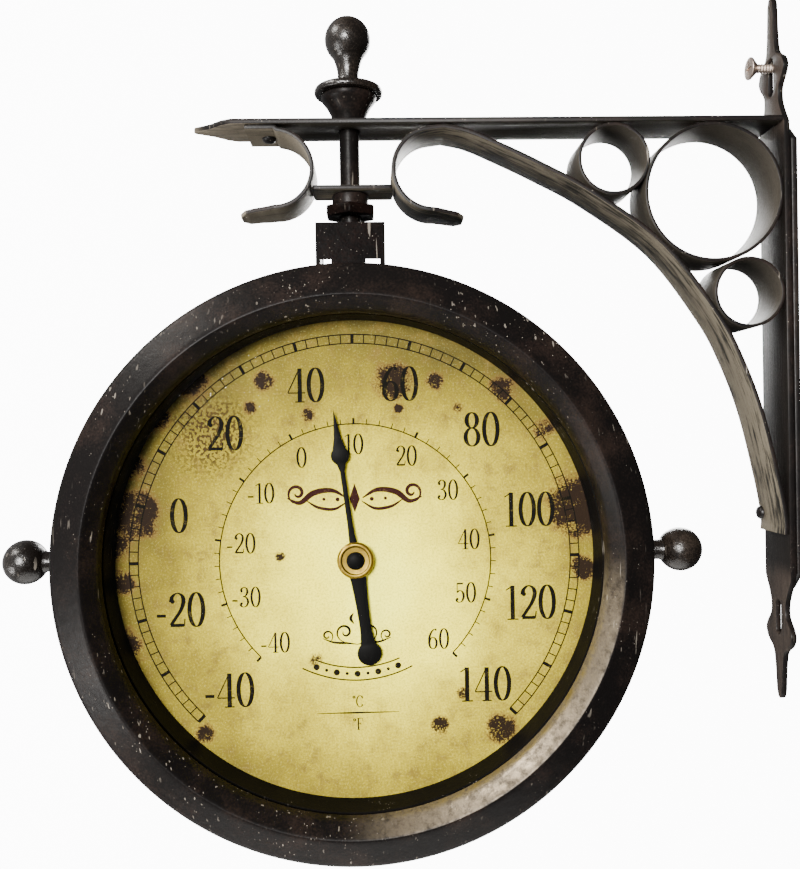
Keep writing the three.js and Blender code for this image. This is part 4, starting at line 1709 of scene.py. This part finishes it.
# Each character: its width, then its strokes, for a height of 1.
CHARACTERS: dict[str, tuple[float, tuple[Stroke, ...]]] = {
    "0": (0.54, ((LOOP, ((0.27, 0.5), (0.195, 0.485))),)),
    "1": (0.44, ((STEM, ((0.24, 0.0), (0.24, 0.99))), (HAIR, ((0.05, 0.86), (0.24, 0.98))),
                 (HAIR, ((0.08, 0.015), (0.40, 0.015))))),
    "2": (0.54, ((PEN, ((0.09, 0.72), (0.13, 0.88), (0.27, 0.98), (0.41, 0.90), (0.445, 0.72),
                 (0.36, 0.48), (0.20, 0.24), (0.08, 0.06))), (STEM, ((0.075, 0.055),
                 (0.45, 0.055))), (HAIR, ((0.455, 0.03), (0.485, 0.24))),
                 (BALL, ((0.135, 0.74), (0.062, 0))))),
    "3": (0.54, ((PEN, ((0.10, 0.80), (0.16, 0.93), (0.27, 0.98), (0.39, 0.90), (0.41, 0.73),
                 (0.33, 0.57), (0.20, 0.525))), (PEN, ((0.20, 0.525), (0.36, 0.48), (0.445, 0.28),
                 (0.37, 0.08), (0.23, 0.02), (0.12, 0.07), (0.08, 0.18))),
                 (BALL, ((0.14, 0.79), (0.058, 0))), (BALL, ((0.125, 0.19), (0.062, 0))))),
    "4": (0.56, ((HAIR, ((0.365, 0.97), (0.03, 0.28))), (HAIR, ((0.03, 0.275), (0.53, 0.275))),
                 (STEM, ((0.375, 0.0), (0.375, 0.98))), (HAIR, ((0.24, 0.015), (0.51, 0.015))))),
    "5": (0.54, ((PEN, ((0.13, 0.50), (0.25, 0.60), (0.39, 0.53), (0.445, 0.31), (0.37, 0.09),
                 (0.22, 0.02), (0.12, 0.07), (0.08, 0.18))), (HAIR, ((0.13, 0.49), (0.13, 0.96))),
                 (STEM, ((0.12, 0.935), (0.42, 0.935))), (BALL, ((0.125, 0.18), (0.062, 0))))),
    "6": (0.56, ((LOOP, ((0.285, 0.29), (0.18, 0.275))),
                 (PEN, ((0.10, 0.30), (0.115, 0.56), (0.20, 0.80), (0.33, 0.95), (0.46, 0.98))),
                 (BALL, ((0.435, 0.93), (0.045, 0))))),
    "8": (0.56, ((LOOP, ((0.28, 0.76), (0.15, 0.22))), (LOOP, ((0.28, 0.275), (0.185, 0.26))))),
    "-": (0.36, ((STEM, ((0.04, 0.33), (0.30, 0.33))),)),
    "o": (0.24, ((LOOP, ((0.10, 0.86), (0.075, 0.10))),)),
    "C": (0.64, ((PEN, ((0.57, 0.76), (0.50, 0.92), (0.35, 0.98), (0.17, 0.85), (0.085, 0.5),
                 (0.17, 0.15), (0.35, 0.02), (0.50, 0.08), (0.57, 0.24))),
                 (HAIR, ((0.575, 0.70), (0.575, 0.97))))),
    "F": (0.58, ((STEM, ((0.17, 0.0), (0.17, 0.99))), (HAIR, ((0.05, 0.985), (0.52, 0.985))),
                 (HAIR, ((0.52, 0.985), (0.54, 0.76))), (HAIR, ((0.17, 0.52), (0.38, 0.52))),
                 (HAIR, ((0.38, 0.40), (0.38, 0.64))), (HAIR, ((0.05, 0.015), (0.30, 0.015))))),
    "I": (0.28, ((STEM, ((0.12, 0.0), (0.12, 0.99))), *SERIF_I)),
    "V": (0.60, ((STEM, ((0.09, 0.985), (0.29, 0.02))), (HAIR, ((0.29, 0.02), (0.49, 0.985))),
                 (HAIR, ((-0.02, 0.985), (0.22, 0.985))), (HAIR, ((0.40, 0.985), (0.59, 0.985))))),
    "X": (0.62, ((STEM, ((0.10, 0.985), (0.50, 0.015))), (HAIR, ((0.49, 0.985), (0.09, 0.015))),
                 (HAIR, ((-0.01, 0.985), (0.24, 0.985))), (HAIR, ((0.38, 0.985), (0.59, 0.985))),
                 (HAIR, ((-0.01, 0.015), (0.20, 0.015))), (HAIR, ((0.37, 0.015), (0.62, 0.015))))),
}


@dataclass
class Print:
    """Ink on a dial, laid down as thin strips.

    Attributes:
        side: The dial's side.
        depth: Distance of the printed face from the middle of the case.
        thin: Half the width of a hairline, for a character height of 1.
        thick: Half the width of a stem.
        strips: How many strips have been laid.
    """

    side: Side
    depth: float = 12.2
    thin: float = 0.017
    thick: float = 0.062
    strips: int = 0

    def __post_init__(self) -> None:
        """Starts with a clean dial."""
        self.shape = Shape(PLACE[self.side])

    def strip(self, line: Sequence[Point], half: Sequence[float] | float,
              closed: bool = False) -> None:
        """Lays one strip of ink, at one of nine heights in turn so that crossing strips differ.

        Args:
            line: Its middle line.
            half: Half of its width, once or for each point.
            closed: Whether it closes on itself.
        """
        self.strips += 1
        raised = 0.03 + 0.004 * (self.strips % 9)
        self.shape.band(line, half, (-self.depth - raised, 0.06 - self.depth), closed=closed)

    def spot(self, centre: Point, radius: float) -> None:
        """Lays a round spot.

        Args:
            centre: Its centre.
            radius: Its radius.
        """
        steps = 10
        line, half = [], []
        for i in range(steps + 1):
            angle = math.pi * (i / steps - 0.5)
            line.append((centre[0], centre[1] + radius * math.sin(angle) * 0.999))
            half.append(max(radius * math.cos(angle), 0.02 * radius))
        self.strip(line, half)

    def ring(self, radius: float, half: float, start: float = 0, end: float = 360) -> None:
        """Lays a circle or an arc, with its angles clockwise from twelve o'clock.

        Args:
            radius: Its radius.
            half: Half the width of its line.
            start: First angle, in degrees.
            end: Last angle.
        """
        whole = end - start >= 360
        steps = max(int((end - start) / 2), 4)
        line = arc((0, 0), radius, 90 - start, 90 - end, steps)
        self.strip(line[:-1] if whole else line, half, closed=whole)

    def tick(self, angle: float, inner: float, outer: float, half: float) -> None:
        """Lays a line across the scale at an angle clockwise from twelve o'clock.

        Args:
            angle: Its angle, in degrees.
            inner: Radius of its inner end.
            outer: Radius of its outer end.
            half: Half of its width.
        """
        self.strip([on_dial(inner, angle), on_dial(outer, angle)], half)

    def pen_width(self, line: Sequence[Point]) -> list[float]:
        """Half widths of a curve drawn with a broad pen, for a height of 1.

        Args:
            line: The curve.

        Returns:
            One half width for each point.
        """
        widths = []
        for i, _ in enumerate(line):
            before, after = line[max(i - 1, 0)], line[min(i + 1, len(line) - 1)]
            run = math.dist(before, after) or 1
            upright = abs(after[1] - before[1]) / run
            widths.append(self.thin + (self.thick - self.thin) * upright ** 2.2)
        return widths

    def write(self, text: str, centre: Point, height: float, turn: float = 0) -> None:
        """Writes characters round a centre.

        Args:
            text: What to write.
            centre: The middle of the writing.
            height: Height of the characters.
            turn: Degrees that the writing is turned clockwise.
        """
        width = sum(CHARACTERS[c][0] for c in text)
        spin = Matrix.Rotation(-math.radians(turn), 2)
        start = -width / 2
        for character in text:
            advance, strokes = CHARACTERS[character]

            def placed(spot: Point) -> Point:
                """Place on the dial of a point of this character."""
                moved = spin @ Vector((start + spot[0], spot[1] - 0.5)) * height
                return centre[0] + moved.x, centre[1] + moved.y
            for mark, spots in strokes:
                self.stroke(mark, spots, height, placed)
            start += advance

    def stroke(self, mark: Mark, spots: Sequence[Point], height: float,
               placed: Callable[[Point], Point]) -> None:
        """Lays one stroke of a character.

        Args:
            mark: Its kind.
            spots: Its points, for a height of 1.
            height: Height of the character.
            placed: Turns such a point into a place on the dial.
        """
        if mark is BALL:
            self.spot(placed(spots[0]), spots[1][0] * height)
        elif mark is LOOP:
            (x, y), (across, up) = spots
            line = [(x + across * math.cos(math.radians(a)), y + up * math.sin(math.radians(a)))
                    for a in range(0, 360, 9)]
            ring = [line[-1], *line, line[0]]
            self.strip([placed(p) for p in line],
                       [w * height for w in self.pen_width(ring)[1:-1]], closed=True)
        elif mark is PEN:
            line = flowing(spots, 6)
            self.strip([placed(p) for p in line], [w * height for w in self.pen_width(line)])
        else:
            level = abs(spots[0][1] - spots[1][1]) < 0.02
            thick = self.thick * (0.72 if level else 1)
            half = thick if mark is STEM else self.thin
            self.strip([placed(p) for p in spots], half * height)

    def finish(self, name: str, slot: str, material: bpy.types.Material) -> None:
        """Turns the ink into a piece on the case.

        Args:
            name: The piece's name.
            slot: The record's material slot.
            material: Its finish.
        """
        stand_in(self.shape.piece(name), Body.CASE, slot, material)


def spiral(centre: Point, start: float, end: float, turns: float, lead: float, hand: int,
           steps: int = 26) -> list[Point]:
    """Points on a spiral that winds in to its centre.

    Args:
        centre: Its centre.
        start: Radius at its outer end.
        end: Radius at its inner end.
        turns: How many turns it takes.
        lead: Angle of its outer end, in degrees.
        hand: 1 to wind anticlockwise and -1 to wind clockwise.
        steps: Number of chords.

    Returns:
        The points from the outside in.
    """
    line = []
    for i in range(steps + 1):
        t = i / steps
        radius = start + (end - start) * t ** 0.8
        angle = math.radians(lead + hand * 360 * turns * t)
        line.append((centre[0] + radius * math.cos(angle), centre[1] + radius * math.sin(angle)))
    return line


def swelling(count: int, thin: float, thick: float) -> list[float]:
    """Half widths of a line that swells in its middle."""
    return [thin + (thick - thin) * math.sin(math.pi * i / (count - 1)) for i in range(count)]


@dataclass
class ThermometerDial:
    """The printed thermometer dial: Fahrenheit outside, Celsius inside, ornament between."""

    track: Point = (94.8, 98.7)
    sweep: float = 135.0
    per_fahrenheit: float = 1.5
    top_fahrenheit: int = 50
    numeral_ring: float = 79.5
    numeral_height: float = 15.2
    celsius_ring: float = 59.5
    per_celsius: float = 2.7
    top_celsius: int = 10
    celsius_numeral_ring: float = 50.6
    celsius_height: float = 9.0

    def fahrenheit(self) -> Print:
        """The outer scale.

        Returns:
            The ink.
        """
        ink = Print(Side.FRONT)
        low, high = self.track
        for radius in self.track:
            ink.ring(radius, 0.26, -self.sweep, self.sweep)
        for degrees in range(-40, 141, 2):
            angle = (degrees - self.top_fahrenheit) * self.per_fahrenheit
            bold = degrees % 10 == 0
            ink.tick(angle, low, high, 0.72 if bold else 0.24)
        for degrees in range(-40, 141, 20):
            angle = (degrees - self.top_fahrenheit) * self.per_fahrenheit
            ink.write(str(degrees), on_dial(self.numeral_ring, angle), self.numeral_height)
        return ink

    def celsius(self) -> Print:
        """The inner scale.

        Returns:
            The ink.
        """
        ink = Print(Side.FRONT, thick=0.055, thin=0.02)
        ring = self.celsius_ring
        ink.ring(ring, 0.26, -self.sweep, self.sweep)
        for degrees in range(-40, 61, 2):
            angle = (degrees - self.top_celsius) * self.per_celsius
            bold = degrees % 10 == 0
            ink.tick(angle, ring, ring + (2.6 if bold else 2.3), 0.5 if bold else 0.2)
        for degrees in range(-40, 61, 10):
            angle = (degrees - self.top_celsius) * self.per_celsius
            ink.write(str(degrees), on_dial(self.celsius_numeral_ring, angle), self.celsius_height)
        ink.write("oC", (0, -62.5), 5.2)
        ink.write("oF", (0, -72.5), 5.2)
        ink.strip([(-18, -67.5), (0, -67.5), (18, -67.5)], [0.1, 0.4, 0.1])
        return ink

    def ornament(self) -> Print:
        """A flourish above the hub, with no letters.

        Returns:
            The ink.
        """
        ink = Print(Side.FRONT)
        for hand in (-1, 1):
            sweep = flowing([(hand * x, z) for x, z in (
                (3.5, 27), (10, 30.4), (18, 29.4), (24, 25.2), (29.5, 27.2))], 8)
            ink.strip(sweep, swelling(len(sweep), 0.25, 1.25))
            lead = 200 if hand > 0 else -20
            curl = spiral((hand * 25.2, 29.4), 4.6, 0.9, 1.15, lead + 90 * hand, hand)
            ink.strip(curl, swelling(len(curl), 0.3, 0.75))
            lower = flowing([(hand * x, z) for x, z in (
                (3.2, 25.4), (9, 22.2), (16, 23), (21, 26))])
            ink.strip(lower, swelling(len(lower), 0.2, 0.7))
            for x, z, radius in ((7.5, 26.4, 0.9), (13.5, 26.6, 0.7)):
                ink.spot((hand * x, z), radius)
        ink.strip([(0, 20.6), (0, 26.6), (0, 33.2)], [0.05, 2.3, 0.05])
        ink.ring(1.0, 0.01)
        return ink

    def scrolls(self) -> Print:
        """The small scrolls and the curved rule under the hub.

        Returns:
            The ink.
        """
        ink = Print(Side.FRONT)
        for hand in (-1, 1):
            big = spiral((hand * 5.2, -32), 4.4, 0.8, 1.3, 270, hand)
            small = spiral((hand * 13, -33.4), 2.9, 0.6, 1.2, 250 if hand > 0 else 290, -hand)
            stem = flowing([(0, -37.4), (hand * 4.5, -36.8), (hand * 10, -36.4),
                            (hand * 15, -34.6)])
            for line, thick in ((big, 0.55), (small, 0.42), (stem, 0.5)):
                ink.strip(line, swelling(len(line), 0.14, thick))
            leaf = flowing([(hand * 1.2, -28.4), (hand * 2.6, -26), (hand * 1.4, -23.6)])
            ink.strip(leaf, swelling(len(leaf), 0.12, 0.7))
        for radius, half_sweep in ((53.2, 27), (47.6, 23)):
            ink.ring(radius, 0.3, 180 - half_sweep, 180 + half_sweep)
        for step in range(-4, 5):
            ink.spot(on_dial(50.4, 180 + step * 5.2), 1.35 if step % 2 == 0 else 0.7)
        return ink

    def build(self, looks: Finishes) -> None:
        """Prints the dial and dresses it.

        Args:
            looks: The finishes.
        """
        dress(looks.front_dial, "thermometer_dial")
        slot = "dial_enamel"
        self.fahrenheit().finish("fahrenheit_scale", slot, looks.ink)
        self.celsius().finish("celsius_scale", slot, looks.ink)
        self.ornament().finish("dial_flourish", slot, looks.red_ink)
        self.scrolls().finish("dial_scrolls", slot, looks.ink)


@dataclass
class ClockDial:
    """The printed clock dial, with Roman numerals and a minute track."""

    track: Point = (94.8, 98.7)
    numeral_ring: float = 80.5
    numeral_height: float = 19.0
    numerals: tuple[str, ...] = (
        "XII", "I", "II", "III", "IIII", "V", "VI", "VII", "VIII", "IX", "X", "XI")

    def build(self, looks: Finishes) -> None:
        """Prints the dial and dresses it.

        Args:
            looks: The finishes.
        """
        dress(looks.rear_dial, "clock_dial")
        ink = Print(Side.REAR)
        for radius in self.track:
            ink.ring(radius, 0.26)
        for minute in range(60):
            ink.tick(6 * minute, *self.track, 0.8 if minute % 5 == 0 else 0.26)
        for hour, text in enumerate(self.numerals):
            ink.write(text, on_dial(self.numeral_ring, 30 * hour), self.numeral_height, 30 * hour)
        for radius in (63, 61.4, 24):
            ink.ring(radius, 0.22)
        for petal in range(12):
            ink.tick(30 * petal, 26, 31 if petal % 3 else 34, 0.6)
        ink.finish("clock_print", "clock_enamel", looks.ink)


# ---- hands and works ----------------------------------------------------------------------


@dataclass
class Pointer:
    """The thermometer's pointer on its arbor, with a brass boss and a cap."""

    rest_turn: float = -7.5
    back: float = 14.6
    thick: float = 0.8
    swell: Point = (46.0, 4.0)
    weight: Point = (41.3, 5.2)
    tip: float = 66.7
    bore: float = 1.5

    def blade(self) -> bpy.types.Object:
        """The flat blade: leaf tip, swelling, shaft, hub and weighted tail.

        Returns:
            The blade as an object.
        """
        (at, half), (low, heavy) = self.swell, self.weight
        right = [(0, -low - heavy), *arc((0, -low), heavy, -84, 52, 18),
                 *flowing([(3.0, -low + 5.6), (2.5, -low + 11), (2.7, -20), (3.4, -9),
                           (4.6, -4)], 4),
                 *arc((0, 0), 5, -30, 60, 6), (1.6, 8), (1.2, 16), (1.0, at - 7),
                 *arc((0, at), half, -60, 44, 14), (1.5, at + 8), (0.8, at + 14), (0, self.tip)]
        return plate("pointer_blade", both_sides(right), [round_hole(self.bore, 24)], self.back,
                     self.back + self.thick, 0.2, AT_PIN @ self.turn() @ FACING_FRONT)

    def turn(self) -> Matrix:
        """The pointer's turn at rest."""
        return Matrix.Rotation(math.radians(self.rest_turn), 4, "Y")

    def build(self, looks: Finishes) -> None:
        """Builds the pointer and dresses it.

        Args:
            looks: The finishes.
        """
        slot = "hand_paint"
        stand_in(self.blade(), Body.POINTER, slot, looks.hand, "pointer")
        out = AT_PIN @ ALONG_MINUS_Y
        ring = softened([(1.5, 15.7), (8, 15.7), (8, 16.6), (7.2, 17.3), (6.3, 17.3), (5.9, 16.8),
                         (1.5, 16.8)], 0.3, True)
        boss = turned_piece("brass_boss", out, [*ring, ring[0]], 64)
        stand_in(boss, Body.POINTER, "brass", looks.brass, "pointer_boss")
        cap = turned_piece("pointer_cap_dome", out, [
            (0, 17.6), (3.8, 17.6), (3.9, 17.8), (3.7, 18.3), (2.9, 18.8), (1.6, 19.1), (0, 19.2)])
        stand_in(cap, Body.POINTER, slot, looks.hand, "pointer_cap")
        dress(looks.steel, "pointer_arbor")


@dataclass
class ClockHands:
    """The two spade hands on their pipe and arbor."""

    hour_turn: float = 305.0
    minute_turn: float = 60.0
    thick: float = 0.8

    def hand(self, name: str, length: float, spade: float, eye: float, bore: float, low: float,
             turn: float) -> bpy.types.Object:
        """One spade hand.

        Args:
            name: The object's name.
            length: From its centre to its tip.
            spade: Half the width of its spade.
            eye: Radius round its bore.
            bore: Radius of the bore.
            low: Distance of its back from the middle of the case.
            turn: Degrees clockwise from twelve o'clock.

        Returns:
            The hand.
        """
        tail = flowing([(0, -eye * 3.2), (1.7, -eye * 3.1), (2.2, -eye * 2.7),
                        (1.4, -eye * 1.4)], 4)
        leaf = flowing([(1.1, length - spade * 4.2), (1.6, length - spade * 3.5),
                        (spade, length - spade * 2.5), (spade * 0.8, length - spade * 1.7),
                        (spade * 0.25, length - spade * 0.7), (0, length)], 5)
        right = [*tail, *arc((0, 0), eye, -65, 68, 12), (1.2, eye * 1.4), *leaf]
        face = Matrix.Rotation(-math.radians(turn), 4, "Y") @ Matrix.Rotation(math.pi, 4, "Z")
        return plate(name, both_sides(right), [round_hole(bore, 24)], low, low + self.thick, 0.2,
                     AT_PIN @ face @ FACING_FRONT)

    def build(self, looks: Finishes) -> None:
        """Builds the hands and dresses them.

        Args:
            looks: The finishes.
        """
        hour = self.hand("hour_spade", 56, 7, 5, 2.7, 15.1, self.hour_turn)
        minute = self.hand("minute_spade", 82, 5, 4.2, 1.8, 16.6, self.minute_turn)
        stand_in(hour, Body.HOUR, "hand_paint", looks.hand, "hour_hand")
        stand_in(minute, Body.MINUTE, "hand_paint", looks.hand, "minute_hand")
        cap = turned_piece("minute_cap_nut", AT_PIN @ ALONG_Y, [
            (1.8, 17.7), (3.1, 17.7), (3.1, 18.6), (2.7, 19.3), (1.4, 19.9), (0, 20), (0, 18.5),
            (1.8, 18.5), (1.8, 17.7)])
        stand_in(cap, Body.MINUTE, "brass", looks.brass, "minute_cap")
        dress(looks.brass, "hour_pipe", "minute_arbor", "movement_nut")


@dataclass
class Works:
    """What the case hides: the bimetal coil on its bridge and the clock movement."""

    def build(self, looks: Finishes) -> None:
        """Dresses the hidden pieces.

        Args:
            looks: The finishes.
        """
        dress(looks.brass, "coil_bridge", "bimetal_coil")
        dress(looks.plastic, "movement", "set_knob")
        dress(looks.steel, "battery")


# ---- studio -------------------------------------------------------------------------------


@dataclass(frozen=True)
class Lamp:
    """A soft square lamp that looks at the case.

    Attributes:
        name: Its name.
        place: Where it hangs, in metres.
        size: Length of its sides, in metres.
        watts: Its power.
        colour: Its colour.
    """

    name: str
    place: tuple[float, float, float]
    size: float
    watts: float
    colour: Colour

    def hang(self) -> None:
        """Hangs the lamp, turned towards the case."""
        data = bpy.data.lights.new(self.name, "AREA")
        data.shape, data.size = "SQUARE", self.size
        data.energy, data.color = self.watts, self.colour
        obj = bpy.data.objects.new(self.name, data)
        bpy.context.scene.collection.objects.link(obj)
        turn = (Vector((PIN_X * MM, 0, 0.04)) - Vector(self.place)).to_track_quat("-Z", "Y")
        obj.matrix_world = Matrix.Translation(self.place) @ turn.to_matrix().to_4x4()


@dataclass
class Studio:
    """Pale floor, soft lights and the camera.

    Attributes:
        eye: Where the camera stands, in millimetres.
        yaw: Its turn to the left, in degrees.
        pitch: Its tilt upwards.
        roll: Its turn about its own line of sight.
        lens: Its focal length, in millimetres.
        floor_z: Height of the floor.
        floor_r: Radius of the floor.
        backdrop: Brightness of the air behind the object.
        gloom: Brightness of the air that lights it from every side.
        window: How much brighter the air is on its left.
        lamps: The lamps.
    """

    eye: tuple[float, float, float] = (-189.65, -408.1, 56.3)
    yaw: float = 1.64
    pitch: float = -0.269
    roll: float = -0.947
    lens: float = 37.32
    floor_z: float = -700.0
    floor_r: float = 480.0
    backdrop: float = 12.0
    gloom: float = 0.08
    window: float = 0.6
    lamps: tuple[Lamp, ...] = (
        Lamp("front_lamp", (-0.66, -1.62, 0.36), 0.5, 108, (1, 0.985, 0.96)),
        Lamp("window_lamp", (-1.22, -0.39, 1.06), 0.4, 24, (1, 0.96, 0.90)),
        Lamp("low_lamp", (-1.15, -0.45, -0.5), 0.35, 11, (1, 0.98, 0.95)),
        Lamp("rear_lamp", (0.3, 1.6, 0.6), 1.0, 80, (1, 0.99, 0.97)))

    def camera(self) -> None:
        """Sets the camera in front of the dial, a little below the bracket."""
        data = bpy.data.cameras.new("front_camera")
        data.lens, data.sensor_width, data.clip_start = self.lens, 36, 0.01
        obj = bpy.data.objects.new("front_camera", data)
        bpy.context.scene.collection.objects.link(obj)
        look = (Matrix.Rotation(-math.radians(self.yaw), 4, "Z")
                @ Matrix.Rotation(math.radians(90 + self.pitch), 4, "X")
                @ Matrix.Rotation(math.radians(self.roll), 4, "Z"))
        obj.matrix_world = Matrix.Translation([v * MM for v in self.eye]) @ look
        bpy.context.scene.camera = obj

    def floor(self) -> None:
        """Lays a round pale floor below the object."""
        slab = Shape(Matrix.Translation((PIN_X, 0, self.floor_z)))
        slab.turned([(0, -12), *softened([(self.floor_r, -12), (self.floor_r, 0), (0, 0)], 4)], 128)
        obj = slab.piece("studio_floor")
        g = Graph("floor_paint")
        grain = g.noise(g.place(), 6, 2)
        obj.data.materials.append(g.surface(
            Base_Color=g.mix(grain * 0.1, (0.93, 0.93, 0.92), (0.86, 0.86, 0.86)), Roughness=0.7))

    def world(self) -> None:
        """Surrounds the scene with white air that lights it mostly from the left."""
        g = Graph("studio_air", world=True)
        east, _, _ = g.split(g.node("ShaderNodeTexCoord").outputs["Generated"])
        light = (0 - east).fade(-0.1, 0.8) * self.window + self.gloom
        seen = Number(g, g.node("ShaderNodeLightPath").outputs["Is Camera Ray"])
        air = g.node("ShaderNodeBackground", None, {
            "Color": (1, 1, 1), "Strength": light + seen * self.backdrop})
        g.tree.links.new(air.outputs[0], g.output.inputs[0])
        bpy.context.scene.world = g.owner

    def build(self) -> None:
        """Sets the stage."""
        self.camera()
        self.floor()
        self.world()
        for lamp in self.lamps:
            lamp.hang()


def main() -> None:
    """Builds the thermometer round its frame, then lights it."""
    logging.basicConfig(level=logging.INFO, format="%(name)s: %(message)s")
    studio = Studio()
    studio.build()
    looks = Finishes()
    for part in (WallPlate(), ScrollBracket(), Hanger(), CaseShell(), ThermometerDial(),
                 ClockDial(), Pointer(), ClockHands(), Works()):
        part.build(looks)


if __name__ == "__main__":
    main()
